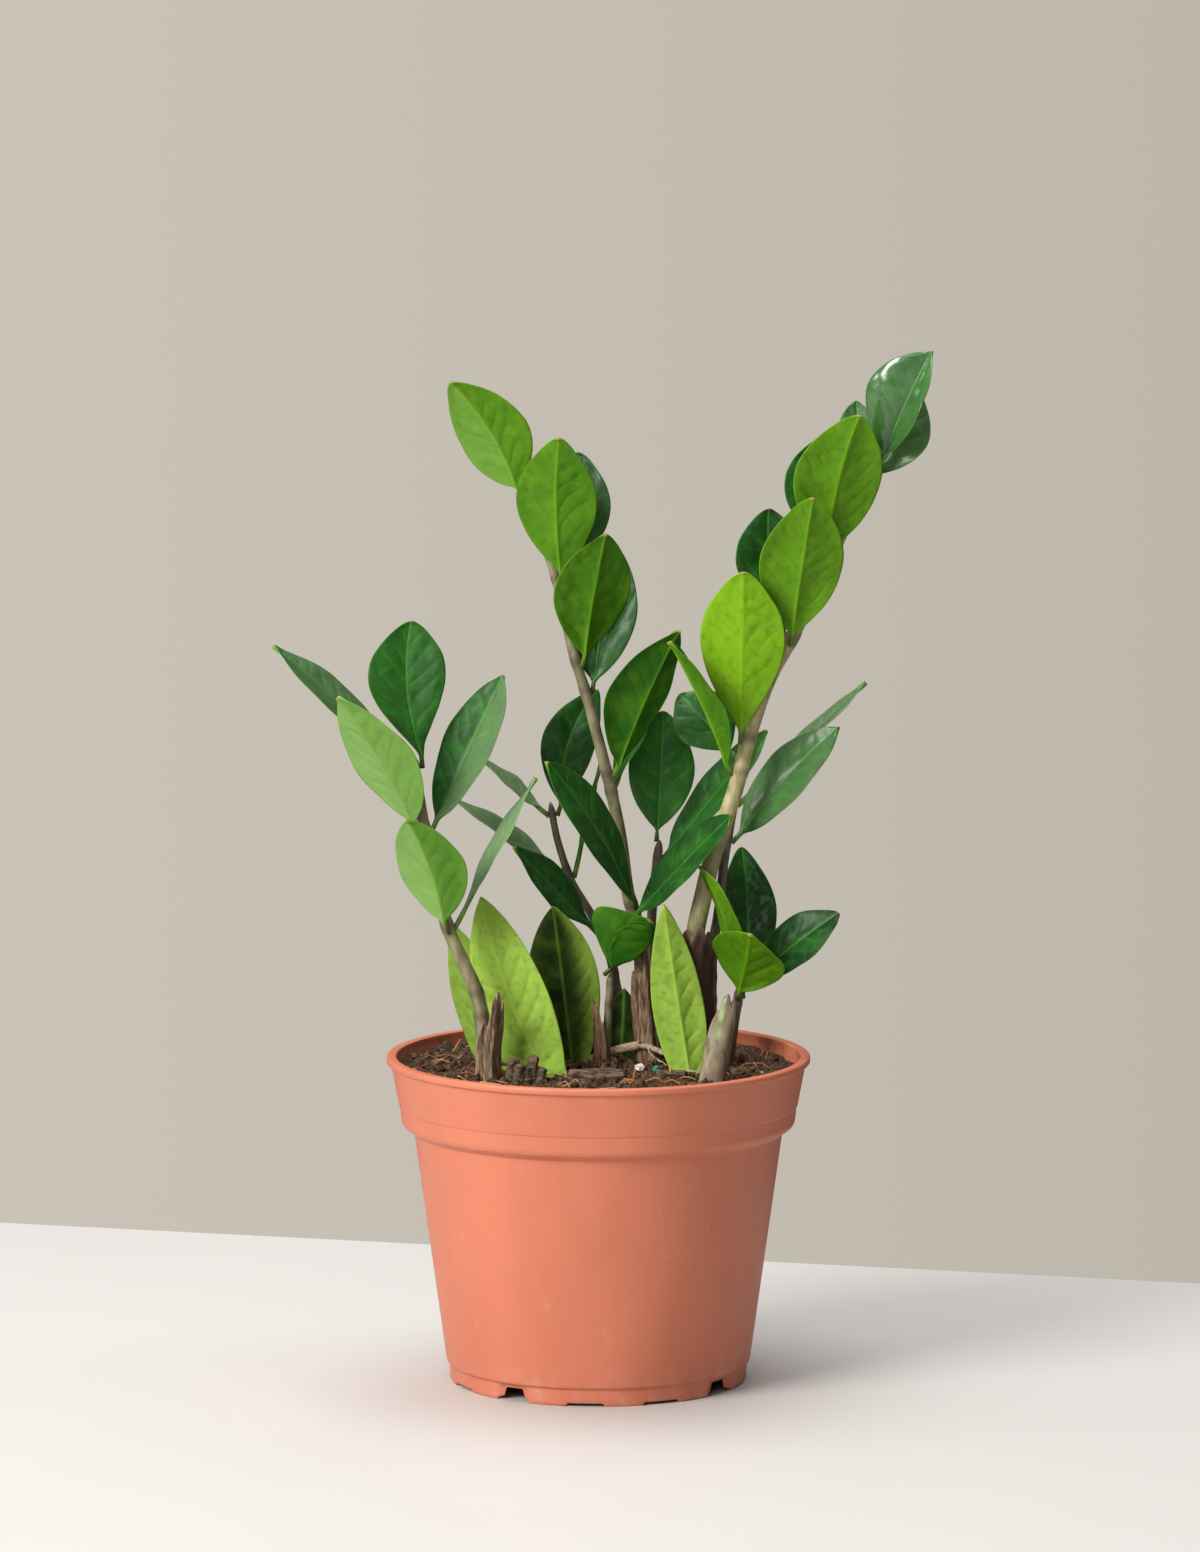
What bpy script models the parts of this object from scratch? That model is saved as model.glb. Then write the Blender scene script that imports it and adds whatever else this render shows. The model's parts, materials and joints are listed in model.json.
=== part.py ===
"""A young zz plant in a round plastic nursery pot. Metres, +Z up.

The origin is the centre of the pot's foot, on the surface that the pot stands on. The pot is one
turned shell. The soil is a plug that fills it, with a socket round everything planted in it. Each
stem, leaflet, leaf cutting, dried sheath and shoot is an object of its own.
"""

import math
import random

import bpy
from mathutils import Matrix, Vector

MM = 0.001

# Pot, in millimetres. Radii are of the outer face.
POT_HEIGHT = 100.4
LIP_RADIUS = 64.9
LIP_BEAD_HEIGHT = 2.0
LIP_BEAD_WIDTH = 2.7
LIP_OVERHANG = 1.3
BAND_TAPER = 3.3
BAND_DEPTH = 20.0
BAND_LINE_DEPTH = 15.2
BAND_LINE_STEP = 0.35
SHOULDER_HEIGHT = 3.2
SHOULDER_INSET = 3.8
SHOULDER_ROUNDING = 0.6
FOOT_RADIUS = 46.65
LEDGE_HEIGHT = 5.6
RING_SETBACK = 0.85
RING_WALL = 1.8
RING_TAPER = 0.2
WALL = 1.2
FLOOR = 1.4
EDGE_BEVEL = 0.4
POT_SEGMENTS = 48

# Cuts in the pot's base ring: a notch every 30 degrees, and every third one deep.
NOTCH_PITCH = 30.0
NOTCH_START = 25.0
DEEP_EVERY = 3
DEEP_START = 1
DEEP_NOTCH_WIDTH = 7.0
DEEP_NOTCH_HEIGHT = 3.9
SHALLOW_NOTCH_WIDTH = 11.5
SHALLOW_NOTCH_HEIGHT = 0.9
NOTCH_SLANT = 1.2
DRAIN_HOLE_RADIUS = 3.5
DRAIN_HOLE_INSET = 6.5
CUT_MARGIN = 1.0

# Soil, in millimetres.
SOIL_DROP = 6.0
SOIL_ROUGHNESS = 0.8
SOIL_RINGS = 4
SOIL_SEGMENTS = 36
GAP = 0.3
PLANTED_DEPTH = 9.0

# Leaf blades, in millimetres and degrees.
BLADE_THICKNESS = 0.9
MARGIN_THICKNESS = 0.4
STALK_LENGTH = 2.5
STALK_RADIUS = 0.8
BLADE_STATIONS = (0.0, 0.09, 0.22, 0.38, 0.55, 0.72, 0.88)
BLADE_BOW = 1.0
BLADE_FOLD = 8.0
BLADE_WIDEST = 0.5
CUTTING_START = 0.18
BLADE_FULLNESS = 0.75

STEM_SIDES = 8
STEM_STEPS = 3
SHOOT_SIDES = 12

# Each stem: foot and top radius, and the points of its centre line. The points' x and y are from the
# pot's axis and z is above the soil.
STEMS = {
    "a": (2.4, 1.5, [(-35, -7, 0), (-36, -7, 22), (-41, -6, 35), (-46, -5, 46), (-50, -4, 63),
                     (-53, -2, 76), (-55, 0, 88), (-57, 2, 99)]),
    "b": (2.3, 1.2, [(16, 20, 0), (14, 20, 20), (12, 19, 42), (9, 18, 54), (7, 17, 70), (4, 17, 85),
                     (0, 17, 101), (-4, 17, 116), (-8, 17, 129), (-11, 17, 143), (-14, 17, 154),
                     (-18, 16, 166), (-22, 15, 178)]),
    "c": (1.8, 1.3, [(17, 32, 0), (16, 30, 30), (17, 29, 51), (19, 28, 69)]),
    "d": (3.2, 1.4, [(32, 12, 0), (29, 13, 33), (32, 14, 52), (36, 14, 68), (42, 13, 86),
                     (46, 12, 102), (52, 11, 120), (59, 9, 133), (65, 8, 146), (71, 7, 158),
                     (79, 5, 177), (84, 3, 189)]),
    "e": (1.9, 1.3, [(40, 18, 0), (42, 17, 14), (44, 16, 26)]),
    "f": (1.6, 1.2, [(2, 16, 0), (3, 15, 14), (4, 14, 30)]),
    "h": (1.6, 1.0, [(9, 34, 0), (4, 34, 30), (-2, 34, 44), (-7, 34, 52), (-10, 34, 59), (-13, 34, 69),
                     (-15, 35, 80)]),
    "i": (1.9, 1.1, [(35, 22, 0), (35, 22, 32), (37, 22, 46), (39, 23, 64), (42, 24, 81),
                     (44, 25, 95)]),
}

# Each leaflet: the height on its stem where it grows, the reach from there to its tip, its width, its
# turn, and any sway and fold of its own. Turn 0 faces the glossy upper side to the front of the pot,
# 180 faces the pale underside there, and a positive turn brings the upper side round to the right.
LEAFLETS = {
    "a1": (46, (-12, -13, 35), 24, 150, {"sway": -1}),
    "a2": (75, (-26, -12, 42), 25, 138, {"widest": 0.46}),
    "a3": (96, (-1, 10, 43), 24, 10, {"sway": -3, "widest": 0.6}),
    "a4": (96, (-43, 4, 36), 18, 70, {"bow": 0.5}),
    "a5": (77, (24, 10, 46), 22, -47, {"bow": 0}),
    "a6": (48, (27, 9, 45), 16, -80, {"bow": 0}),
    "b1": (176, (-23, -11, 34), 23, 160, {"sway": -2, "widest": 0.44}),
    "b2": (150, (1, -17, 45), 25, 170, {"sway": 1.5}),
    "b3": (151, (7, 13, 38), 26, -15, {}),
    "b4": (123, (9, -12, 41), 25, 205, {}),
    "b5": (116, (9, 11, 44), 23, -20, {}),
    "b6": (88, (22, -13, 46), 25, 225, {"fold": 18}),
    "b7": (86, (15, 20, 28), 16, -70, {"grows": 75}),
    "b8": (52, (-26, -23, 47), 17, 48, {"bow": 3, "grows": 290, "widest": 0.56}),
    "b9": (48, (30, -16, 33), 20, -62, {"bow": 0.5, "grows": 270}),
    "c1": (67, (1, 6, 39), 21, 10, {}),
    "c2": (66, (34, 12, 38), 19, -60, {"bow": 0}),
    "d1": (103, (-2, -17, 53), 26, 175, {"widest": 0.56}),
    "d2": (134, (6, -18, 45), 26, 190, {"grows": 270}),
    "d3": (158, (8, -16, 45), 27, 190, {"sway": 1.5}),
    "d4": (189, (17, -6, 33), 23, -42, {"fold": 30}),
    "d5": (183, (16, 6, 28), 20, -20, {"sway": 2}),
    "d6": (181, (-2, 20, 23), 13, 10, {"grows": 120}),
    "d7": (158, (1, 12, 38), 24, 10, {"sway": -3}),
    "d8": (133, (-7, 11, 39), 22, 15, {"sway": -2, "widest": 0.58}),
    "d9": (91, (-22, -14, 42), 18, 100, {"fold": 25, "grows": 200}),
    "e1": (24, (1, 20, 43), 18, 10, {"sway": 1.5, "grows": 60}),
    "e2": (25, (-13, -14, 38), 16, 115, {"sway": -3, "grows": 250}),
    "e3": (22, (3, -23, 22), 24, 160, {}),
    "e4": (25, (30, -4, 22), 18, -45, {}),
    "f1": (29, (12, -12, 17), 20, 180, {"sway": 5, "grows": 240}),
    "h1": (78, (14, 3, 38), 17, 10, {"sway": -4}),
    "h2": (77, (-23, 1, 17), 14, 80, {"bow": 0}),
    "h3": (59, (-36, 0, 22), 16, 78, {"bow": 0}),
    "h4": (57, (10, 10, 34), 9, -80, {"bow": 0}),
    "h5": (42, (-26, -14, 27), 15, 55, {"bow": 0, "grows": 230}),
    "i1": (69, (34, -5, 35), 19, -44, {"bow": 2}),
    "i2": (80, (41, 16, 35), 13, -80, {"bow": 0}),
    "i3": (93, (-19, 9, 18), 20, 20, {}),
}

# Each leaf cutting: its foot at soil level, the reach from there to its tip, its width, its turn.
CUTTINGS = {
    "1": ((-17, -2), (-19, 8, 54), 23, 170, {"sway": 2}),
    "2": ((-31, 8), (-14, 2, 45), 17, 160, {}),
    "3": ((-8, 19), (-6, 1, 49), 22, 175, {"fold": 14, "widest": 0.58}),
    "4": ((28, -3), (-8, 7, 52), 16, 190, {}),
    "5": ((7, 27), (1, 2, 22), 12, 170, {}),
}

# Each dried sheath: its stem, the way it faces in degrees from +X, how far it stands off the stem's
# foot radius, its height and its spread in degrees.
SHEATHS = {
    "a": (320, 2.2, 23, 150),
    "b": (285, 2.5, 41, 190),
    "d": (285, 1.4, 44, 150),
    "f": (200, 1.8, 22, 150),
}
SHEATH_THICKNESS = 0.6
SHEATH_FLARE = 1.6
SHEATH_NARROWING = 0.75
SHEATH_COLUMNS = 5

# The torn stump and the young spike: foot, reach to the top, and a radius at each point of the line,
# which runs from the planted end through the soil's surface to the top.
CUT_SHOOT = {"foot": (34.5, -21), "reach": (4.5, 0, 29), "radii": (4.1, 4.1, 4.1, 3.8, 3.0)}
BUD_SPIKE = {"foot": (-13, 18), "reach": (0, 1, 20), "radii": (1.4, 1.4, 1.2, 0.7, 0.35)}
SHOOT_STATIONS = (0.0, 0.5, 0.8, 1.0)
TORN_SLOPE = 5.0
TORN_CURVE = 0.6
TORN_RIM = 1.5

COLOURS = {
    "pot": ((0.68, 0.20, 0.12), 0.45),
    "soil": ((0.030, 0.016, 0.010), 0.95),
    "stem": ((0.20, 0.19, 0.08), 0.55),
    "leaf": ((0.05, 0.17, 0.03), 0.35),
    "cutting": ((0.24, 0.45, 0.05), 0.40),
    "sheath": ((0.17, 0.10, 0.06), 0.85),
    "shoot": ((0.33, 0.29, 0.16), 0.60),
}

SOIL_LEVEL = POT_HEIGHT - SOIL_DROP
BAND_TOP_RADIUS = LIP_RADIUS - LIP_OVERHANG
BAND_BOTTOM_RADIUS = BAND_TOP_RADIUS - BAND_TAPER
SHOULDER_RADIUS = BAND_BOTTOM_RADIUS - SHOULDER_INSET
BAND_BOTTOM = POT_HEIGHT - BAND_DEPTH
SHOULDER = BAND_BOTTOM - SHOULDER_HEIGHT
RING_RADIUS = FOOT_RADIUS - RING_SETBACK
FLOOR_TOP = LEDGE_HEIGHT + FLOOR


def clear_scene():
    """Removes every object that the scene starts with."""
    for obj in list(bpy.data.objects):
        bpy.data.objects.remove(obj, do_unlink=True)


def material(kind):
    """The material of one kind of piece, made once."""
    found = bpy.data.materials.get(kind)
    if found:
        return found
    made = bpy.data.materials.new(kind)
    made.use_nodes = True
    colour, roughness = COLOURS[kind]
    shader = made.node_tree.nodes["Principled BSDF"]
    shader.inputs["Base Color"].default_value = (*colour, 1.0)
    shader.inputs["Roughness"].default_value = roughness
    shader.inputs["Metallic"].default_value = 0.0
    made.diffuse_color = (*colour, 1.0)
    return made


def build(name, points, faces, kind):
    """One object from points in millimetres and faces as lists of point numbers."""
    mesh = bpy.data.meshes.new(name)
    mesh.from_pydata([Vector(p) * MM for p in points], [], faces)
    mesh.shade_smooth()
    mesh.set_sharp_from_angle(angle=math.radians(40))
    mesh.materials.append(material(kind))
    obj = bpy.data.objects.new(name, mesh)
    bpy.context.scene.collection.objects.link(obj)
    return obj


def make_cutter(obj, collection):
    """Turns an object into a hidden cutter of a collection."""
    obj.hide_render = True
    obj.display_type = "WIRE"
    bpy.context.scene.collection.objects.unlink(obj)
    collection.objects.link(obj)


def cut_all(obj, collection):
    """Cuts every object of a collection out of obj."""
    cut = obj.modifiers.new("cuts", "BOOLEAN")
    cut.operation = "DIFFERENCE"
    cut.operand_type = "COLLECTION"
    cut.collection = collection
    cut.solver = "EXACT"


def new_collection(name):
    made = bpy.data.collections.new(name)
    bpy.context.scene.collection.children.link(made)
    return made


def skin(rings, closed_tip=None):
    """Points and faces of a solid through rings of equal size, closed flat at its start, and at its
    end either flat or in the point closed_tip."""
    count = len(rings[0])
    points = [p for ring in rings for p in ring]
    faces = [list(range(count))[::-1]]
    for low in range(len(rings) - 1):
        for i in range(count):
            j = (i + 1) % count
            a, b = low * count, (low + 1) * count
            faces.append([a + i, a + j, b + j, b + i])
    last = (len(rings) - 1) * count
    if closed_tip is None:
        faces.append([last + i for i in range(count)])
    else:
        points.append(closed_tip)
        faces += [[last + i, last + (i + 1) % count, len(points) - 1] for i in range(count)]
    return points, faces


def turned(profile, segments):
    """Points and faces of a closed profile of (radius, height) turned round the pot's axis. The
    profile runs from one point on the axis to another, down the outer side."""
    points, faces, rows = [], [], []
    for radius, height in profile:
        if radius == 0:
            rows.append([len(points)] * segments)
            points.append((0, 0, height))
            continue
        rows.append(list(range(len(points), len(points) + segments)))
        for i in range(segments):
            angle = math.tau * i / segments
            points.append((radius * math.cos(angle), radius * math.sin(angle), height))
    for upper, lower in zip(rows, rows[1:]):
        for i in range(segments):
            j = (i + 1) % segments
            corners = [upper[i], lower[i], lower[j], upper[j]]
            faces.append([c for k, c in enumerate(corners) if c not in corners[:k]])
    return points, faces


def pot_inner_radius(height):
    """Radius of the pot's inner face at a height, below the lip's bead."""
    steps = [
        (LEDGE_HEIGHT, FOOT_RADIUS),
        (SHOULDER, SHOULDER_RADIUS),
        (BAND_BOTTOM, BAND_BOTTOM_RADIUS),
        (POT_HEIGHT, BAND_TOP_RADIUS),
    ]
    for (low, low_radius), (high, high_radius) in zip(steps, steps[1:]):
        if height <= high:
            share = (height - low) / (high - low)
            return low_radius + share * (high_radius - low_radius) - WALL
    return BAND_TOP_RADIUS - WALL


def make_pot():
    """The turned shell, with the notches of its base ring and its drain holes cut out."""
    line = POT_HEIGHT - BAND_LINE_DEPTH
    bead_bottom = POT_HEIGHT - LIP_BEAD_HEIGHT
    share = BAND_LINE_DEPTH / BAND_DEPTH
    line_radius = BAND_TOP_RADIUS + share * (BAND_BOTTOM_RADIUS - BAND_TOP_RADIUS)
    inner_lip = LIP_RADIUS - LIP_BEAD_WIDTH
    ring_inner = RING_RADIUS - RING_WALL
    profile = [
        (0, FLOOR_TOP),
        (pot_inner_radius(FLOOR_TOP), FLOOR_TOP),
        (pot_inner_radius(SHOULDER), SHOULDER),
        (pot_inner_radius(BAND_BOTTOM), BAND_BOTTOM),
        (inner_lip, bead_bottom),
        (inner_lip, POT_HEIGHT - EDGE_BEVEL),
        (inner_lip + EDGE_BEVEL, POT_HEIGHT),
        (LIP_RADIUS - 2 * EDGE_BEVEL, POT_HEIGHT),
        (LIP_RADIUS - EDGE_BEVEL / 2, POT_HEIGHT - EDGE_BEVEL),
        (LIP_RADIUS, POT_HEIGHT - LIP_BEAD_HEIGHT / 2),
        (LIP_RADIUS - EDGE_BEVEL, bead_bottom + EDGE_BEVEL / 2),
        (BAND_TOP_RADIUS, bead_bottom),
        (line_radius, line),
        (line_radius - BAND_LINE_STEP, line - BAND_LINE_STEP),
        (BAND_BOTTOM_RADIUS, BAND_BOTTOM),
        (BAND_BOTTOM_RADIUS - SHOULDER_ROUNDING, BAND_BOTTOM - 2 * SHOULDER_ROUNDING),
        (SHOULDER_RADIUS + 2 * SHOULDER_ROUNDING, SHOULDER + SHOULDER_ROUNDING),
        (SHOULDER_RADIUS, SHOULDER),
        (FOOT_RADIUS, LEDGE_HEIGHT),
        (RING_RADIUS, LEDGE_HEIGHT - EDGE_BEVEL),
        (RING_RADIUS - RING_TAPER, EDGE_BEVEL),
        (RING_RADIUS - RING_TAPER - EDGE_BEVEL, 0),
        (ring_inner, 0),
        (ring_inner, LEDGE_HEIGHT),
        (0, LEDGE_HEIGHT),
    ]
    pot = build("pot", *turned(profile, POT_SEGMENTS), "pot")
    cuts = new_collection("pot_cuts")
    for i in range(round(360 / NOTCH_PITCH)):
        angle = math.radians(NOTCH_START + i * NOTCH_PITCH)
        deep = i % DEEP_EVERY == DEEP_START
        width = DEEP_NOTCH_WIDTH if deep else SHALLOW_NOTCH_WIDTH
        height = DEEP_NOTCH_HEIGHT if deep else SHALLOW_NOTCH_HEIGHT
        make_cutter(notch_cutter(f"notch_cutter_{i}", angle, width, height), cuts)
        if deep:
            make_cutter(drain_cutter(f"drain_cutter_{i}", angle), cuts)
    cut_all(pot, cuts)
    return pot


def notch_cutter(name, angle, width, height):
    """A block with slanted sides through the base ring, centred on a direction."""
    half, foot_half = width / 2, width / 2 + NOTCH_SLANT * height / DEEP_NOTCH_HEIGHT
    bottom = -CUT_MARGIN
    outline = [(-foot_half, bottom), (foot_half, bottom), (half, height), (-half, height)]
    near, far = RING_RADIUS - 3 * RING_WALL, FOOT_RADIUS + CUT_MARGIN
    rings = []
    for radius in (near, far):
        ring = []
        for across, up in outline:
            x = radius * math.cos(angle) - across * math.sin(angle)
            y = radius * math.sin(angle) + across * math.cos(angle)
            ring.append((x, y, up))
        rings.append(ring)
    return build(name, *skin(rings), "pot")


def drain_cutter(name, angle):
    """A round plug through the floor, inside the base ring, behind a deep notch."""
    reach = RING_RADIUS - RING_WALL - DRAIN_HOLE_INSET
    middle = Vector((reach * math.cos(angle), reach * math.sin(angle), 0))
    rings = []
    for height in (LEDGE_HEIGHT - CUT_MARGIN, FLOOR_TOP + CUT_MARGIN):
        ring = []
        for i in range(SHOOT_SIDES):
            turn = math.tau * i / SHOOT_SIDES
            across = Vector((math.cos(turn), math.sin(turn), 0)) * DRAIN_HOLE_RADIUS
            ring.append(middle + across + Vector((0, 0, height)))
        rings.append(ring)
    return build(name, *skin(rings), "pot")


def make_soil():
    """The plug of soil, a gap inside the pot's wall, with a slightly uneven top."""
    random.seed(7)
    bottom = FLOOR_TOP + GAP
    outer = [(pot_inner_radius(z) - GAP, z) for z in (SOIL_LEVEL, BAND_BOTTOM, SHOULDER, bottom)]
    edge = outer[0][0]
    profile = [(0, SOIL_LEVEL + SOIL_ROUGHNESS)]
    profile += [(edge * (i + 1) / (SOIL_RINGS + 1), SOIL_LEVEL) for i in range(SOIL_RINGS)]
    profile += outer + [(0, bottom)]
    points, faces = turned(profile, SOIL_SEGMENTS)
    for i in range(1, 1 + SOIL_RINGS * SOIL_SEGMENTS):
        x, y, z = points[i]
        points[i] = (x, y, z + random.uniform(-SOIL_ROUGHNESS, SOIL_ROUGHNESS))
    return build("soil", points, faces, "soil")


def smooth_path(points, steps):
    """Points of a smooth curve through the given ones, steps to each stretch."""
    ends = [2 * points[0] - points[1]] + points + [2 * points[-1] - points[-2]]
    found = []
    for a, b, c, d in zip(ends, ends[1:], ends[2:], ends[3:]):
        for k in range(steps):
            t = k / steps
            found.append(
                0.5 * (2 * b + (c - a) * t + (2 * a - 5 * b + 4 * c - d) * t ** 2
                       + (3 * b - a - 3 * c + d) * t ** 3)
            )
    return found + [points[-1]]


def stem_line(stem):
    """The centre line of a stem and its radius at each point, from its planted foot upwards."""
    foot_radius, top_radius, route = STEMS[stem]
    points = [Vector((x, y, z + SOIL_LEVEL)) for x, y, z in route]
    start = points[0] - (points[1] - points[0]).normalized() * PLANTED_DEPTH
    line = smooth_path([start] + points, STEM_STEPS)
    radii = [foot_radius + (top_radius - foot_radius) * i / (len(line) - 1) for i in range(len(line))]
    return line, radii


def frame_along(line, i):
    """The direction of a line at its point i, with two directions across it."""
    along = (line[min(i + 1, len(line) - 1)] - line[max(i - 1, 0)]).normalized()
    side = along.cross(Vector((0, 1, 0))).normalized()
    return along, side, side.cross(along)


def tube_rings(line, radii, sides, grow=0.0):
    """Rings of a round tube along a line, each radius made larger by grow."""
    rings = []
    for i, point in enumerate(line):
        along, side, back = frame_along(line, i)
        ring = []
        for k in range(sides):
            turn = math.tau * k / sides
            across = side * math.cos(turn) - back * math.sin(turn)
            ring.append(point + across * (radii[i] + grow))
        rings.append(ring)
    return rings


def make_stem(stem):
    line, radii = stem_line(stem)
    return build(f"stem_{stem}", *skin(tube_rings(line, radii, STEM_SIDES)), "stem")


def stem_socket(stem):
    """The socket in the soil round a stem's planted foot."""
    line, radii = stem_line(stem)
    low = line[0] - (line[1] - line[0]).normalized() * GAP
    high = line[STEM_STEPS + 1]
    grow = GAP / math.cos(math.pi / STEM_SIDES)
    rings = tube_rings([low, high], [radii[0], radii[0]], STEM_SIDES, grow)
    return build(f"stem_{stem}_socket", *skin(rings), "soil")


def blade_axes(reach, turn):
    """The direction to the right edge of a blade that reaches so, and that of its upper side."""
    along = reach.normalized()
    front = Vector((0, -1, 0))
    facing = (front - along * front.dot(along)).normalized()
    facing.rotate(Matrix.Rotation(math.radians(turn), 3, along))
    return along.cross(facing), facing


def blade_half_width(share, width, widest):
    """Half the width of a blade at a share of its length, 0 at both ends and full at widest."""
    return width / 2 * math.sin(math.pi * share ** (math.log(0.5) / math.log(widest))) ** BLADE_FULLNESS


def blade_ring(middle, side, facing, half, thick, edge_thick, lift):
    """Six points round a blade: its upper face from edge to edge, then its lower face back."""
    up, edge_up = facing * thick / 2, facing * edge_thick / 2
    left, right = middle - side * half + facing * lift, middle + side * half + facing * lift
    return [left + edge_up, middle + up, right + edge_up, right - edge_up, middle - up, left - edge_up]


def blade_rings(start, tip, width, turn, shape, first=0.0, grow=0.0):
    """The rings of a blade from start to its tip, whose outline begins at a first share of its length."""
    bow, sway = shape.get("bow", BLADE_BOW), shape.get("sway", 0.0)
    tilt = math.tan(math.radians(shape.get("fold", BLADE_FOLD)))
    widest = shape.get("widest", BLADE_WIDEST)
    side, facing = blade_axes(tip - start, turn)
    rings = []
    for station in BLADE_STATIONS:
        arch = 4 * station * (1 - station)
        middle = start.lerp(tip, station) + facing * bow * arch + side * sway * arch
        outline = first + (1 - first) * station
        half = max(STALK_RADIUS, blade_half_width(outline, width, widest))
        thick, edge = BLADE_THICKNESS + 2 * grow, MARGIN_THICKNESS + 2 * grow
        rings.append(blade_ring(middle, side, facing, half + grow, thick, edge, half * tilt))
    return rings


def make_leaflet(name):
    """A leaflet that grows from its stem, with its stalk's end a gap clear of the stem."""
    height, reach, width, turn, shape = LEAFLETS[name]
    line, radii = stem_line(name[0])
    level = SOIL_LEVEL + height
    i = min(range(len(line)), key=lambda k: abs(line[k].z - level))
    along = frame_along(line, i)[0]
    tip = line[i] + Vector(reach)
    towards = tip - line[i]
    if "grows" in shape:
        angle = math.radians(shape["grows"])
        towards = Vector((math.cos(angle), math.sin(angle), 0))
    out = (towards - along * towards.dot(along)).normalized()
    start = line[i] + out * (radii[i] + GAP + STALK_RADIUS)
    blade_start = start + (tip - start).normalized() * STALK_LENGTH
    side, facing = blade_axes(tip - start, turn)
    stalk = blade_ring(start, side, facing, STALK_RADIUS, 2 * STALK_RADIUS, STALK_RADIUS, 0)
    rings = [stalk] + blade_rings(blade_start, tip, width, turn, shape)
    return build(f"leaf_{name}", *skin(rings, tip), "leaf")


def cutting_rings(name, grow=0.0):
    """The rings of a leaf cutting, whose blade is cut short and planted, and its tip."""
    (x, y), reach, width, turn, shape = CUTTINGS[name]
    foot = Vector((x, y, SOIL_LEVEL))
    tip = foot + Vector(reach)
    rings = blade_rings(foot, tip, width, turn, shape, CUTTING_START, grow)
    down = (foot - tip).normalized() * (PLANTED_DEPTH + grow)
    return [[p + down for p in rings[0]]] + rings, tip


def make_cutting(name):
    rings, tip = cutting_rings(name)
    return build(f"cutting_{name}", *skin(rings, tip), "cutting")


def cutting_socket(name):
    """The slot in the soil round a cutting's planted end."""
    rings, _ = cutting_rings(name, GAP)
    return build(f"cutting_{name}_socket", *skin(rings[:3]), "soil")


def sheath_rings(name, grow=0.0):
    """Rings of a dried sheath: a curved strip round the front of its stem, narrower upwards."""
    facing, looseness, height, spread = SHEATHS[name]
    radius = STEMS[name][0] + looseness
    line, _ = stem_line(name)
    rings = []
    line = [p for p in line if p.z <= SOIL_LEVEL + height]
    line[0] = line[0] - Vector((0, 0, grow))
    for i, point in enumerate(line):
        share = max(0.0, (point.z - SOIL_LEVEL) / height)
        half_spread = math.radians(spread / 2) * (1 - SHEATH_NARROWING * share)
        flare = radius + SHEATH_FLARE * share ** 2
        extra = grow / flare
        outer, inner = [], []
        for k in range(SHEATH_COLUMNS):
            across = 2 * k / (SHEATH_COLUMNS - 1) - 1
            turn = math.radians(facing) + across * (half_spread + extra)
            way = Vector((math.cos(turn), math.sin(turn), 0))
            outer.append(point + way * (flare + SHEATH_THICKNESS + grow))
            inner.append(point + way * (flare - grow))
        rings.append(outer + inner[::-1])
    return rings


def make_sheath(name):
    return build(f"sheath_{name}", *skin(sheath_rings(name)), "sheath")


def sheath_socket(name):
    rings = sheath_rings(name, GAP)
    return build(f"sheath_{name}_socket", *skin(rings[: STEM_STEPS + 2]), "soil")


def shoot_line(shoot):
    """The centre line of a straight shoot, from its planted end to its top."""
    foot = Vector((*shoot["foot"], SOIL_LEVEL))
    reach = Vector(shoot["reach"])
    return [foot - reach.normalized() * PLANTED_DEPTH] + [foot + reach * k for k in SHOOT_STATIONS]


def make_cut_shoot():
    """The stump of a torn shoot: its top slopes from a point at the left down to the right."""
    rings = tube_rings(shoot_line(CUT_SHOOT), CUT_SHOOT["radii"], SHOOT_SIDES)
    top, below = rings[-1], rings[-2]
    left, right = min(p.x for p in top), max(p.x for p in top)
    for k in range(SHOOT_SIDES):
        across = (top[k].x - left) / (right - left)
        top[k].z -= TORN_SLOPE * across ** TORN_CURVE
        below[k].z = min(below[k].z, top[k].z - TORN_RIM)
    return build("cut_shoot", *skin(rings), "shoot")


def make_bud_spike():
    """A dark young shoot that tapers to a point."""
    rings = tube_rings(shoot_line(BUD_SPIKE), BUD_SPIKE["radii"], SHOOT_SIDES)
    return build("bud_spike", *skin(rings), "sheath")


def shoot_socket(name, shoot):
    """The socket in the soil round a shoot's planted end."""
    line = shoot_line(shoot)
    ends = [line[0] - (line[1] - line[0]).normalized() * GAP, line[2]]
    grow = GAP / math.cos(math.pi / SHOOT_SIDES)
    rings = tube_rings(ends, [shoot["radii"][0]] * len(ends), SHOOT_SIDES, grow)
    return build(f"{name}_socket", *skin(rings), "soil")


def main():
    clear_scene()
    make_pot()
    soil = make_soil()
    sockets = new_collection("soil_cuts")
    for stem in STEMS:
        make_stem(stem)
        make_cutter(stem_socket(stem), sockets)
    for name in LEAFLETS:
        make_leaflet(name)
    for name in CUTTINGS:
        make_cutting(name)
        make_cutter(cutting_socket(name), sockets)
    for name in SHEATHS:
        make_sheath(name)
        make_cutter(sheath_socket(name), sockets)
    make_cut_shoot()
    make_cutter(shoot_socket("cut_shoot", CUT_SHOOT), sockets)
    make_bud_spike()
    make_cutter(shoot_socket("bud_spike", BUD_SPIKE), sockets)
    cut_all(soil, sockets)


main()
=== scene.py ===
# %% [markdown]
# # A young zz plant in its nursery pot
#
# This lesson dresses a finished CAD model of a potted zz plant. The CAD gives every leaflet, stem and
# sheath its place and size. Each cell below takes one kind of piece, builds it again as a fine mesh on
# the CAD's own measurements, and gives it a finish of procedural nodes.

import json
import math

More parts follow.
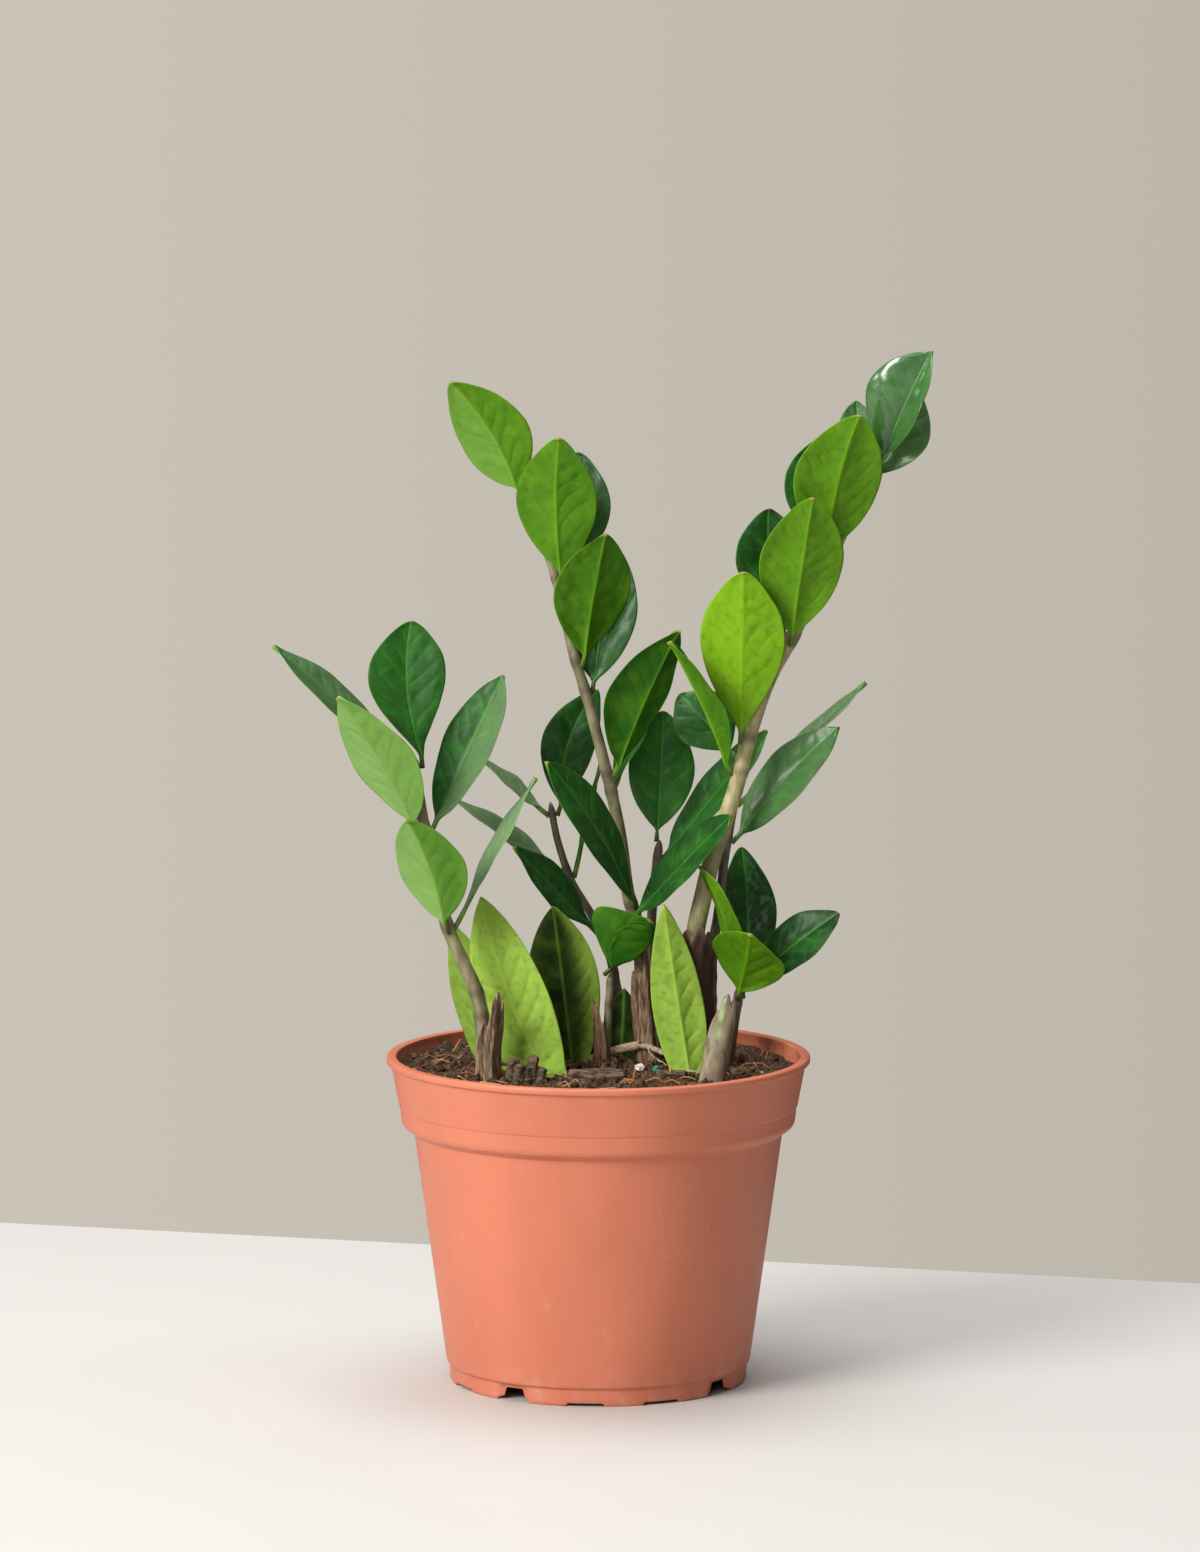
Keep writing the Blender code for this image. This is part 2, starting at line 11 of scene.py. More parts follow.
import bmesh
import bpy
import numpy as np
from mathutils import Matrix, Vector, noise

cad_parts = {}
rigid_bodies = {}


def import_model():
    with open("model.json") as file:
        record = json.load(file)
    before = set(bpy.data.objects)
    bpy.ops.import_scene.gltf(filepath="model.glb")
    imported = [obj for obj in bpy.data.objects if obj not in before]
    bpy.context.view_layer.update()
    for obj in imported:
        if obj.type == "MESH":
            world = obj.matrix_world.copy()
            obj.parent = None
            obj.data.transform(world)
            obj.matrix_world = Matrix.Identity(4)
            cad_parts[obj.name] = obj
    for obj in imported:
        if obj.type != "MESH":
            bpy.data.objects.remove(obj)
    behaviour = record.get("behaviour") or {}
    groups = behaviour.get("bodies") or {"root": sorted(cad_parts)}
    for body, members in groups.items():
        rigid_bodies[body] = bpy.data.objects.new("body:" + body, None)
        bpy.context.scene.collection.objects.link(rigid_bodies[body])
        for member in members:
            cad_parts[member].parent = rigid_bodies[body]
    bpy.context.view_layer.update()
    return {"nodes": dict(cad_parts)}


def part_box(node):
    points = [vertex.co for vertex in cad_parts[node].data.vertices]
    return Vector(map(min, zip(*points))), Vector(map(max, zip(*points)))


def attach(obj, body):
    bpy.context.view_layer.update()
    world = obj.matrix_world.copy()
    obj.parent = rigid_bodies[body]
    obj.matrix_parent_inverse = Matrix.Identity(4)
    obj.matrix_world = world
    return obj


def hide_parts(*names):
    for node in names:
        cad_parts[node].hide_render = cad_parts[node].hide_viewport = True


for startup in list(bpy.data.objects):
    bpy.data.objects.remove(startup, do_unlink=True)
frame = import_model()
MM = 0.001

# %% [markdown]
# ## Shader maths as expressions
#
# A finish is easier to read as arithmetic than as a drawing of nodes. A Value wraps one output of a
# node, and each operator adds the Math node that does it, so `1 - mask * 0.5` is a real recipe.


# %% A value that varies over a surface
class Value:
    """One output of a node, with the operators that add Math nodes."""

    def __init__(self, nodes, socket):
        self.nodes = nodes
        self.socket = socket

    def math(self, operation, *terms):
        return self.nodes.node("ShaderNodeMath", {"operation": operation}, dict(enumerate(terms)))

    def __add__(self, other):
        return self.math("ADD", self, other)

    def __sub__(self, other):
        return self.math("SUBTRACT", self, other)

    def __rsub__(self, other):
        return self.math("SUBTRACT", other, self)

    def __mul__(self, other):
        return self.math("MULTIPLY", self, other)

    def __abs__(self):
        return self.math("ABSOLUTE", self)

    __radd__ = __add__
    __rmul__ = __mul__

    def rise(self, low, high):
        """0 below low, 1 above high, and smooth between them. It falls where low is above high."""
        limits = {"From Min": low, "From Max": high, "Value": self}
        return self.nodes.node("ShaderNodeMapRange", {"interpolation_type": "SMOOTHSTEP"}, limits)


# %% [markdown]
# A node tree gets all its nodes from one method, which takes a node's settings first and then its
# sockets. Colours are mixed by nodes of their own, because a Math node would turn them grey.


# %% A tree of nodes
class Nodes:
    """A node tree that a finish or the surround is built in."""

    def __init__(self, tree):
        self.tree = tree

    def feed(self, socket, value):
        if isinstance(value, Value):
            self.tree.links.new(value.socket, socket)
        elif socket.type == "RGBA":
            socket.default_value = (*value, 1.0)
        else:
            socket.default_value = value

    def node(self, kind, settings=None, inputs=None, output=0):
        made = self.tree.nodes.new(kind)
        for key, value in (settings or {}).items():
            setattr(made, key, value)
        for key, value in (inputs or {}).items():
            self.feed(made.inputs[key], value)
        return Value(self, made.outputs[output])

    def blend(self, share, first, second):
        """The colour first where share is 0, and second where it is 1."""
        return self.node("ShaderNodeMix", {"data_type": "RGBA"}, {0: share, 6: first, 7: second}, 2)

    def layers(self, colour, *coats):
        """The colour with coats over it in turn. A coat is its share of the surface and its colour."""
        for share, coat in coats:
            colour = self.blend(share, colour, coat)
        return colour


# %% [markdown]
# Every finish is one Principled shader with its constants set on the shader's own sockets. Noise gives
# it its patterns, and marks on the mesh say where on the piece a pattern belongs.


# %% A finish
class Finish(Nodes):
    """A material: one Principled shader and the nodes that feed it."""

    def __init__(self, name, **constants):
        self.material = bpy.data.materials.new(name)
        self.material.use_nodes = True
        super().__init__(self.material.node_tree)
        self.paint(**constants)

    def paint(self, **sockets):
        """Feeds the shader's sockets and gives back the material."""
        shader = self.tree.nodes["Principled BSDF"]
        for key, value in sockets.items():
            self.feed(shader.inputs[key.replace("_", " ")], value)
        return self.material

    def mark(self, name):
        """A number that a piece's mesh carries at each of its points."""
        return self.node("ShaderNodeAttribute", {"attribute_name": name}, output="Fac")

    def place(self, stretch=(1, 1, 1)):
        """Where a point is, in millimetres, with each axis stretched."""
        at = self.node("ShaderNodeTexCoord", output="Object")
        scale = tuple(s / MM for s in stretch)
        return self.node("ShaderNodeVectorMath", {"operation": "MULTIPLY"}, {0: at, 1: scale})

    def speckle(self, size, detail=2.0, stretch=(1, 1, 1)):
        """Noise from 0 to 1 whose patches are about size millimetres wide before the stretch."""
        inputs = {"Vector": self.place(stretch), "Scale": 1 / size, "Detail": detail}
        return self.node("ShaderNodeTexNoise", None, inputs)

    def relief(self, height, depth):
        """The normal of a surface whose bumps are depth millimetres high."""
        inputs = {"Height": height, "Distance": depth * MM, "Strength": 1.0}
        return self.node("ShaderNodeBump", None, inputs)


# %% [markdown]
# Small plain things need only one noise, so one function makes the whole of such a finish.


# %% A finish of one noise
def grained(name, grain, colours, limits, roughness, depth=0.0, **constants):
    """A finish with one noise, which runs the colour from dark to light between its two limits, adds
    to the roughness and, where there is a depth, raises the surface."""
    finish = Finish(name, **constants)
    pattern = finish.speckle(*grain)
    if depth:
        finish.paint(Normal=finish.relief(pattern, depth))
    least, more = roughness
    return finish.paint(
        Base_Color=finish.blend(pattern.rise(*limits), *colours), Roughness=least + pattern * more
    )


# %% [markdown]
# ## Making a piece
#
# Each piece is a mesh of its own, built from rows of points. It rides on the plant's one body, takes
# its finish, and stands for its CAD solid. A mark is a number at each point, such as how far along a leaf
# it is, which the finish reads to paint veins where they grow.


# %% Points and faces into a piece
def add_piece(name, points, faces, finish, stands_for=(), marks=None):
    """A piece from points in millimetres. A mark has one number for each point, or one for all."""
    points = np.asarray(points, float).reshape(-1, 3)
    mesh = bpy.data.meshes.new(name)
    mesh.from_pydata((points * MM).tolist(), [], faces)
    for key, values in (marks or {}).items():
        layer = mesh.attributes.new(key, "FLOAT", "POINT")
        layer.data.foreach_set("value", np.full(len(points), np.ravel(values), np.float32))
    mesh.shade_smooth()
    mesh.materials.append(finish)
    obj = bpy.data.objects.new(name, mesh)
    bpy.context.scene.collection.objects.link(obj)
    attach(obj, "root")
    if stands_for:
        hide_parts(*stands_for)
    return obj


def loft_faces(rows, columns, start=True, end=True):
    """Faces through closed rows of points, with the first and last rows filled."""
    low = np.arange(columns)
    high = (low + 1) % columns
    faces = []
    for r in range(rows - 1):
        a, b = r * columns, (r + 1) * columns
        faces += np.stack([a + low, a + high, b + high, b + low], 1).tolist()
    if start:
        faces.append(low[::-1].tolist())
    if end:
        faces.append(((rows - 1) * columns + low).tolist())
    return faces


def turns(count):
    """That many angles, evenly spaced round a whole turn."""
    return np.linspace(0, 2 * np.pi, count, endpoint=False)


def unit(vector):
    vector = np.asarray(vector, float)
    return vector / np.linalg.norm(vector, axis=-1, keepdims=True)


def curve_through(knots, values, at):
    """A smooth curve through values at knots, read at the places in at."""
    knots, values, at = (np.asarray(a, float) for a in (knots, values, at))
    flat = values.reshape(len(knots), -1)
    slopes = np.gradient(flat, knots, axis=0)
    k = np.clip(np.searchsorted(knots, at, side="right") - 1, 0, len(knots) - 2)
    step = (knots[k + 1] - knots[k])[:, None]
    t = ((at - knots[k]) / (knots[k + 1] - knots[k]))[:, None]
    found = (
        (2 * t**3 - 3 * t**2 + 1) * flat[k]
        + (t**3 - 2 * t**2 + t) * step * slopes[k]
        + (3 * t**2 - 2 * t**3) * flat[k + 1]
        + (t**3 - t**2) * step * slopes[k + 1]
    )
    return found.reshape(at.shape + values.shape[1:])


# %% [markdown]
# ## The camera and the light
#
# The plant is seen from a little above with a long lens, so that the pot's rim is a slim ellipse. The
# main soft light stands at the left and in front. A weak one in front and a wide one overhead open the
# shadows with it, and so does a warm grey surround. The table ends a little behind the pot, on a line
# that isn't square to the view.

# %% The camera
AIM = Vector((0.0005, 0.0, 0.1864))
DISTANCE = 2.339
PITCH = 0.1282
lens = bpy.data.cameras.new("camera")
lens.sensor_width = 36.0
lens.lens = 177.9
lens.clip_start = 0.1
camera = bpy.data.objects.new("camera", lens)
camera.location = AIM + DISTANCE * Vector((0, -math.cos(PITCH), math.sin(PITCH)))
camera.rotation_euler = (math.pi / 2 - PITCH, 0, 0)
bpy.context.scene.collection.objects.link(camera)
bpy.context.scene.camera = camera
bpy.context.scene.view_settings.view_transform = "Standard"


# %% Soft lights
PLANT_MIDDLE = Vector((0, 0, 0.16))


def soft_light(name, place, size, power, colour=(1, 1, 1)):
    """A square light of that size that shines at the middle of the plant."""
    data = bpy.data.lights.new(name, "AREA")
    data.size = size
    data.energy = power
    data.color = colour
    light = bpy.data.objects.new(name, data)
    light.location = place
    light.rotation_euler = (PLANT_MIDDLE - light.location).to_track_quat("-Z", "Y").to_euler()
    bpy.context.scene.collection.objects.link(light)


WARM = (1.0, 0.98, 0.96)
soft_light("key", (-1.45, -1.30, 1.10), 1.0, 57, WARM)
soft_light("front", (-0.45, -2.2, 1.2), 1.2, 9, WARM)
soft_light("overhead", (-0.1, 0.25, 1.9), 1.7, 43)

# %% [markdown]
# The wall behind has painted light where it is seen: it is painted a little brighter on the left, the
# side of the main light, and fades towards the right. What lights the plant is an even, much weaker
# grey, so the wall's brightness doesn't wash the shadows out.

# %% The surround
world = bpy.data.worlds.new("surround")
bpy.context.scene.world = world
world.use_nodes = True
surround = Nodes(world.node_tree)
direction = surround.node("ShaderNodeTexCoord", output="Generated")
across = surround.node("ShaderNodeSeparateXYZ", None, {0: direction}, "X")
# Painted light on the wall: brighter on the left, fading to the right.
fade = surround.node("ShaderNodeMapRange", None, {"From Min": -0.09, "From Max": 0.09, "Value": across})
wall = surround.blend(fade, (0.600, 0.550, 0.475), (0.505, 0.465, 0.408))
seen = surround.node("ShaderNodeBackground", None, {"Color": wall})
felt = surround.node("ShaderNodeBackground", None, {"Color": (0.60, 0.58, 0.56), "Strength": 0.16})
looked_at = surround.node("ShaderNodeLightPath", output="Is Camera Ray")
either = surround.node("ShaderNodeMixShader", None, {0: looked_at, 1: felt, 2: seen})
surround.feed(surround.tree.nodes["World Output"].inputs["Surface"], either)

# %% The table
table_mesh = bpy.data.meshes.new("table")
TABLE_EDGE = [(-3.0, 1.004), (3.0, -0.604)]
table_corners = [(-3, -4, 0), (3, -4, 0)] + [(x, y, 0) for x, y in reversed(TABLE_EDGE)]
table_mesh.from_pydata(table_corners, [], [[0, 1, 2, 3]])
table = bpy.data.objects.new("table", table_mesh)
bpy.context.scene.collection.objects.link(table)
tabletop = Finish("tabletop", Roughness=0.6)
table_colour = tabletop.blend(tabletop.speckle(180), (0.55, 0.535, 0.51), (0.58, 0.565, 0.54))
table_mesh.materials.append(tabletop.paint(Base_Color=table_colour))

# %% [markdown]
# ## Leaflets
#
# A zz leaflet is a thick, waxy blade. Its upper side is dark and shiny, with the veins a little sunken.
# Its under side is paler and dull, with the midrib standing proud. A flat card with a painted vein would
# look like paper, so each blade here is a closed skin: the CAD solid gives eight ribs along the leaflet,
# and a smooth curve through them carries sixty-four rows of points on both faces.


# %% Reading the ribs of a CAD leaflet
def own_points(node):
    """The node's points with no point twice, in millimetres."""
    places = np.array([v.co for v in frame["nodes"][node].data.vertices]) / MM
    return np.unique(np.round(places, 3), axis=0)


RIB_GAP = 0.8
RIB_POINTS = 6


def rough_chord(points):
    """The way from a leaflet's stalk, its tightest knot of points, to the point farthest from it."""
    gaps = np.linalg.norm(points[:, None] - points[None], axis=2)
    nearest = np.argsort(gaps, axis=1)[:, :RIB_POINTS]
    knot = np.take_along_axis(gaps, nearest, 1).sum(1).argmin()
    root = points[nearest[knot]].mean(0)
    return unit(points[np.linalg.norm(points - root, axis=1).argmax()] - root)


def ribs_of(node):
    """Along a leaflet from its base: distances, middles and half widths of its ribs, with the fold,
    the way that its upper side faces and the way to its tip."""
    points = own_points(node)
    chord = np.linalg.svd(points - points.mean(0), full_matrices=False)[2][0]
    if node.startswith("leaf"):
        chord = rough_chord(points)
    for _ in range(2):
        along = points @ chord
        order = np.argsort(along)
        groups = np.split(order, np.flatnonzero(np.diff(along[order]) > RIB_GAP) + 1)
        if len(groups[0]) == 1:
            groups = groups[::-1]
        tip = points[groups[-1][0]]
        chord = unit(tip - points[groups[0]].mean(0))
    ribs = [points[g] for g in groups[:-1]]
    widest = max(ribs, key=lambda rib: np.ptp(rib, axis=0).sum())
    across = np.linalg.svd(widest - widest.mean(0), full_matrices=False)[2][0]
    ribs = [rib[np.argsort(rib @ across)] for rib in ribs]
    middles = np.array([rib[2:4].mean(0) for rib in ribs])
    edges = np.array([(rib[:2].mean(0) + rib[4:].mean(0)) / 2 for rib in ribs])
    halves = np.array([np.linalg.norm(rib[4:].mean(0) - rib[:2].mean(0)) / 2 for rib in ribs])
    lift = edges - middles
    facing = unit(lift.sum(0))
    fold = (lift @ facing).max() / halves[np.argmax(lift @ facing)]
    start = middles[0] @ chord
    distances = np.append(middles @ chord - start, tip @ chord - start)
    return distances, np.vstack([middles, tip]), np.append(halves, 0.0), fold, facing, chord


print("ribs of one leaflet, mm along it:", np.round(ribs_of("leaf_d1")[0], 1))

# %% [markdown]
# The blade's skin runs round from the left margin over the upper face to the right margin and back
# under it. Its columns crowd towards the midrib and the margins, where the shape turns most. The two
# halves slope up steeply from the midrib and level out towards the margins. Veins leave the midrib
# unevenly and bend towards the tip, and the blade bulges in small patches between them.

# %% The shape of a blade
ROWS = 64
HALF_COLUMNS = 17
BLADE_MM = 0.55
STALK_MM = 1.5
GROOVE_MM = 0.20
KEEL_MM = 0.28
MIDRIB_MM = 0.45
VEIN_PITCHES = (5.6, 7.4)
INTO_STEM = 1.6


def across_places():
    """Places across a blade from -1 to 1, close together at the midrib and at the margins."""
    t = np.linspace(0, 1, HALF_COLUMNS)
    right = 0.5 - 0.5 * np.cos(np.pi * t)
    right = 0.5 * right + 0.5 * t
    return np.concatenate([-right[:0:-1], right])


def rough(x, y, seed):
    """Smooth noise from -1 to 1 over two arrays of places."""
    flat = [noise.noise(Vector((a, b, seed * 7.3))) for a, b in zip(x.ravel(), y.ravel())]
    return np.array(flat).reshape(x.shape)


def blade(node, seed, quilt, blunt=0.1, crease=1.8, planted=False):
    """Points, faces and marks of the fine blade that stands for a CAD leaflet or cutting. Quilt is the
    bulge between veins, blunt rounds the tip, and a crease over 1 steepens the halves at the midrib."""
    rng = np.random.default_rng(seed)
    distances, middles, halves, fold, facing, chord = ribs_of(node)
    length = distances[-1]
    side = np.cross(chord, facing)
    s = length * (1 - (1 - np.linspace(0, 1, ROWS)) ** 1.5)
    share = s / length
    centre = curve_through(distances, middles, s)
    # A power of the width goes to nothing evenly at a round tip, so the curve runs through that.
    power = 1.1 + 1.4 * blunt
    half = np.clip(curve_through(distances, halves**power, s), 0, None) ** (1 / power)
    half[-1] = 0.0
    if not planted:
        centre[0] -= unit(middles[1] - middles[0]) * INTO_STEM
    v = across_places()[None, :]
    rib = np.abs(v) * half[:, None]
    along = np.broadcast_to(s[:, None], rib.shape)
    hand = np.sign(v)
    open_blade = np.clip((half - 0.9) / 2.0, 0, 1)[:, None]
    stray = rough(along / 9 + hand * 5, rib / 9, seed)
    pitch = rng.uniform(*VEIN_PITCHES)
    phase = (along - 0.95 * rib - 0.012 * rib**2) / pitch + 0.27 * hand + 0.45 * stray
    fade = np.clip(rib / 2.5, 0, 1) * np.clip((half[:, None] - rib) / 3.0, 0, 1)
    patches = rough(along / 3.1 + hand * 9, rib / 2.6 + 4, seed + 1)
    slow = rough(along / 11 + hand * 3, rib / 8 + 9, seed + 2)
    sunk = np.exp(-(((phase - np.round(phase)) / 0.10) ** 2))
    bulge = (quilt * (1.5 * patches - 0.8 * sunk) + 0.55 * slow) * fade
    turns = rng.uniform(0, 1, 3)
    wave = 0.45 * np.sin(2 * np.pi * (1.2 * share[:, None] + turns[0] + 0.21 * hand))
    wave = wave + 0.22 * np.sin(2 * np.pi * (2.9 * share[:, None] + turns[1] + 0.37 * hand))
    lift = fold * rib * (crease - (crease - 1) * np.abs(v))
    lift = lift + (wave * v**2 + bulge) * open_blade
    thick = BLADE_MM * open_blade + STALK_MM * (1 - open_blade)
    thick = thick * np.sqrt(np.clip(1 - np.abs(v) ** 3, 0, 1))
    slim = (1.05 - share[:, None]) * open_blade
    midrib = np.exp(-((rib / MIDRIB_MM) ** 2))
    groove = GROOVE_MM * midrib * slim
    keel = KEEL_MM * midrib * slim
    base = centre[:, None, :] + side * (v * half[:, None])[:, :, None]
    upper = base + facing * (lift + thick / 2 - groove)[:, :, None]
    under = base + facing * (lift - thick / 2 - keel)[:, :, None]
    loop = np.concatenate([upper, under[:, -2:0:-1]], axis=1)
    columns = loop.shape[1]

    def both(face):
        face = np.broadcast_to(face, rib.shape)
        return np.concatenate([face, face[:, -2:0:-1]], axis=1)

    flags = np.concatenate([np.ones(rib.shape[1]), np.zeros(rib.shape[1] - 2)])
    flags[[0, rib.shape[1] - 1]] = 0.5
    marks = {
        "upper": np.broadcast_to(flags, (ROWS, columns)),
        "along": both(share[:, None]),
        "rib": both(rib),
        "rim": both(half[:, None] - rib),
        "vein": both(phase + 40),
        "hand": both(v * np.sign(side[0])),
    }
    # The last row has run together in one point, the tip.
    keep = (ROWS - 1) * columns + 1
    faces = loft_faces(ROWS, columns, True, False)
    faces = [list(dict.fromkeys(min(c, keep - 1) for c in face)) for face in faces]
    faces = [face for face in faces if len(face) > 2]
    marks = {key: value.reshape(-1)[:keep] for key, value in marks.items()}
    return loop.reshape(-1, 3)[:keep], faces, marks


# %% [markdown]
# ## The leaf's finish
#
# One finish serves every leaflet, because the marks say which side, which part and how old it is. The
# under side runs from a dull green to the bright yellow-green of a young leaf. The upper side is darker
# and has a thin clear wax, whose strength is the mark gloss, so it is smoother. A mark of painted sheen
# lays a pale painted highlight over the green, and on some halves the mark of age also carries painted
# light and shade. A little light passes through the blade.

# %% Leaf colours
def shade(colour, share):
    return tuple(min(1.0, c * share) for c in colour)


def leaf_finish(name, under_old, under_young, upper_old, upper_young, through):
    leaf = Finish(name, IOR=1.40, Subsurface_Weight=through, Subsurface_Radius=(0.6, 1.0, 0.15),
                  Subsurface_Scale=0.0012, Specular_IOR_Level=0.25, Coat_Roughness=0.20)
    upper = leaf.mark("upper").rise(0.35, 0.65)
    # The tone is the leaflet's age, and on some halves it also holds painted light and shade.
    age_and_painted_light = leaf.mark("tone")
    rib, rim, along = leaf.mark("rib"), leaf.mark("rim"), leaf.mark("along")
    turn = leaf.mark("vein")
    turn = turn.math("FRACT", turn + 0.5)
    patches = leaf.speckle(7, 3)
    mottle = leaf.speckle(2.2, 4)
    grain = leaf.speckle(0.5, 2)
    vein = abs(turn - 0.5).rise(0.17, 0.0) * rib.rise(0.2, 1.5) * rim.rise(0.5, 4.0)
    vein = vein * patches.rise(0.3, 0.6)
    furrow = abs(turn - 0.5).rise(0.40, 0.0) * rib.rise(0.2, 2.0) * rim.rise(0.5, 4.0)
    # Painted sheen: a pale highlight painted over the green of either side.
    painted_sheen = leaf.mark("painted_sheen")
    painted_sheen_colour = leaf.blend(patches, (0.145, 0.28, 0.066), (0.22, 0.37, 0.115))
    under = leaf.layers(
        leaf.blend(age_and_painted_light, under_old, under_young),
        (patches.rise(0.35, 0.75) * 0.22, shade(under_young, 0.95)),
        (mottle.rise(0.45, 0.8) * 0.35, shade(under_old, 0.75)),
        (vein * 0.13, shade(under_old, 1.0)),
        (rib.rise(0.7, 0.25) * 0.28, shade(under_young, 1.1)),
        (painted_sheen * 0.85, painted_sheen_colour),
    )
    over = leaf.layers(
        leaf.blend(age_and_painted_light, upper_old, upper_young),
        (patches.rise(0.35, 0.8) * 0.45, shade(upper_young, 1.5)),
        (mottle.rise(0.5, 0.8) * 0.35, shade(upper_young, 1.9)),
        (vein * 0.22, shade(upper_young, 2.0)),
        (rib.rise(0.40, 0.10) * 0.5, shade(upper_young, 2.4)),
        (painted_sheen * 0.9, (0.19, 0.30, 0.14)),
    )
    colour = leaf.layers(
        leaf.blend(upper, under, over),
        (along.rise(0.06, 0.015) * 0.7, (0.09, 0.085, 0.035)),
        (rim.rise(0.22, 0.04) * 0.25, shade(under_young, 1.2)),
        (along.rise(0.985, 0.997) * 0.8, (0.30, 0.18, 0.05)),
    )
    shine = 0.55 - upper * 0.15 + grain * 0.08 + patches * 0.08
    height = grain * 0.3 + mottle * 0.6 - vein * 0.3 - furrow * (0.9 - upper * 0.5)
    wax = upper * leaf.mark("gloss") * (1.0 - mottle * 0.4)
    return leaf.paint(Base_Color=colour, Roughness=shine, Coat_Weight=wax, Normal=leaf.relief(height, 0.20))


LEAF = leaf_finish("leaf_wax", (0.016, 0.104, 0.002), (0.190, 0.405, 0.006),
                   (0.006, 0.034, 0.006), (0.021, 0.120, 0.010), 0.06)
CUTTING = leaf_finish("cutting_wax", (0.012, 0.040, 0.004), (0.31, 0.50, 0.060),
                      (0.06, 0.17, 0.02), (0.16, 0.36, 0.03), 0.15)

# %% [markdown]
# The leaflets differ in age, and the young ones are brighter. The tone below is 0 for a dark old leaflet
# and 1 for a bright young one. The other tables hold only the leaflets that differ from the usual. The
# first of them is a painted sheen, a pale highlight painted on the left and the right half, and the second
# is painted shade, which takes tone off the right half. QUILTED is the bulge between the veins, BLUNT the
# roundness of the tip, GLOSS the strength of the wax, and CREASED the steepness beside the midrib. Left
# and right are as they are seen from the front, so the painted light and shade stay on the same halves
# from behind as well.

# %% All the leaflets
TONES = {
    "a1": 0.40, "a2": 0.45, "a3": 0.5, "a4": 0.3, "a5": 0.25, "a6": 0.5,
    "b1": 0.42, "b2": 0.28, "b3": 0.2, "b4": 0.2, "b5": 0.3, "b6": 0.0, "b7": 0.3, "b8": 0.3, "b9": 0.2,
    "c1": 0.7, "c2": 0.5, "d1": 0.95, "d2": 0.42, "d3": 0.38, "d4": 0.6, "d5": 0.4, "d6": 0.2, "d7": 0.15,
    "d8": 0.15, "d9": 0.75, "e1": 0.2, "e2": 0.35, "e3": 0.30, "e4": 0.0, "f1": 0.0,
    "h1": 0.25, "h2": 0.3, "h3": 0.3, "h4": 0.3, "h5": 0.2, "i1": 0.35, "i2": 0.4, "i3": 0.3,
}
# Painted sheen, a pale highlight painted on the left and the right half of these leaflets.
PAINTED_SHEEN = {
    "a1": (0.95, 0.15), "a2": (1.0, 0.6), "a4": (0.2, 0.3), "a5": (0.0, 0.42), "a6": (0.9, 0.9),
    "b1": (0.35, 0.0), "b3": (0.1, 0.1), "d4": (0.10, 0.08), "d5": (0.45, 0.25), "h2": (0.7, 0.7),
    "h3": (0.7, 0.7), "i1": (0.25, 0.2), "i2": (0.6, 0.6),
}
# Painted shade: the tone taken off the right half of these leaflets.
PAINTED_SHADE = {"a1": 0.25, "a2": 0.1, "b1": 0.12, "b2": 0.06, "b4": 0.05, "d1": 0.1, "d9": 0.6}
QUILTED = {
    "b1": 0.2, "b2": 0.2, "b3": 0.16, "b4": 0.22, "c1": 0.16, "d1": 0.16, "d2": 0.16, "d3": 0.18,
    "d4": 0.22, "d5": 0.18, "e1": 0.42,
}
BLUNT = {
    "a3": 0.35, "b1": 0.25, "b2": 0.35, "b3": 0.4, "b4": 0.25, "b5": 0.25, "c1": 0.4, "d1": 0.45,
    "d2": 0.35, "d3": 0.35, "d5": 0.3, "d6": 0.3, "d7": 0.35, "d8": 0.35, "e1": 0.4, "e4": 0.3, "f1": 0.5,
    "h1": 0.3, "i3": 0.5,
}
GLOSS = {
    "a3": 0.2, "a5": 0.12, "b3": 0.25, "b5": 0.2, "c1": 0.2, "c2": 0.2, "d4": 1.6, "d5": 0.4, "d6": 0.4,
    "e1": 0.4, "e4": 0.1,
}
CREASED = {
    "a1": 2.6, "a2": 2.2, "a3": 1.2, "b2": 2.2, "b4": 2.8, "b6": 2.4, "d1": 1.4, "d2": 2.8, "d3": 2.8,
    "f1": 0.3,
}
# A leaflet here counts as this much farther from its midrib than it is, so no midrib is painted.
NO_MIDRIB = {"f1": 3}


def right_half(hand, sharpness, middle=0.0):
    """0 on a blade's left half and 1 on its right, with a change that is as sharp as asked for."""
    return 1 / (1 + np.exp(-sharpness * (hand - middle)))


leaf_bases = {}
for seed, (key, tone) in enumerate(TONES.items()):
    node = f"leaf_{key}"
    quilt, crease = QUILTED.get(key, 0.10), CREASED.get(key, 1.8)
    points, faces, marks = blade(node, seed, quilt, BLUNT.get(key, 0.08), crease)
    right = right_half(marks["hand"], 14)
    left_painted_sheen, right_painted_sheen = PAINTED_SHEEN.get(key, (0.0, 0.0))
    marks["rib"] = marks["rib"] + NO_MIDRIB.get(key, 0)
    # Painted shade takes tone off the right half.
    marks["tone"] = tone - PAINTED_SHADE.get(key, 0.0) * right
    # The painted sheen runs from the left half's strength to the right half's.
    marks["painted_sheen"] = left_painted_sheen + (right_painted_sheen - left_painted_sheen) * right
    marks["gloss"] = GLOSS.get(key, 0.35)
    add_piece(f"{node}_blade", points, faces, LEAF, [node], marks)
    leaf_bases.setdefault(key[0], []).append(ribs_of(node)[1][0])
print(len(TONES), "leaflets,", len(points), "points each")

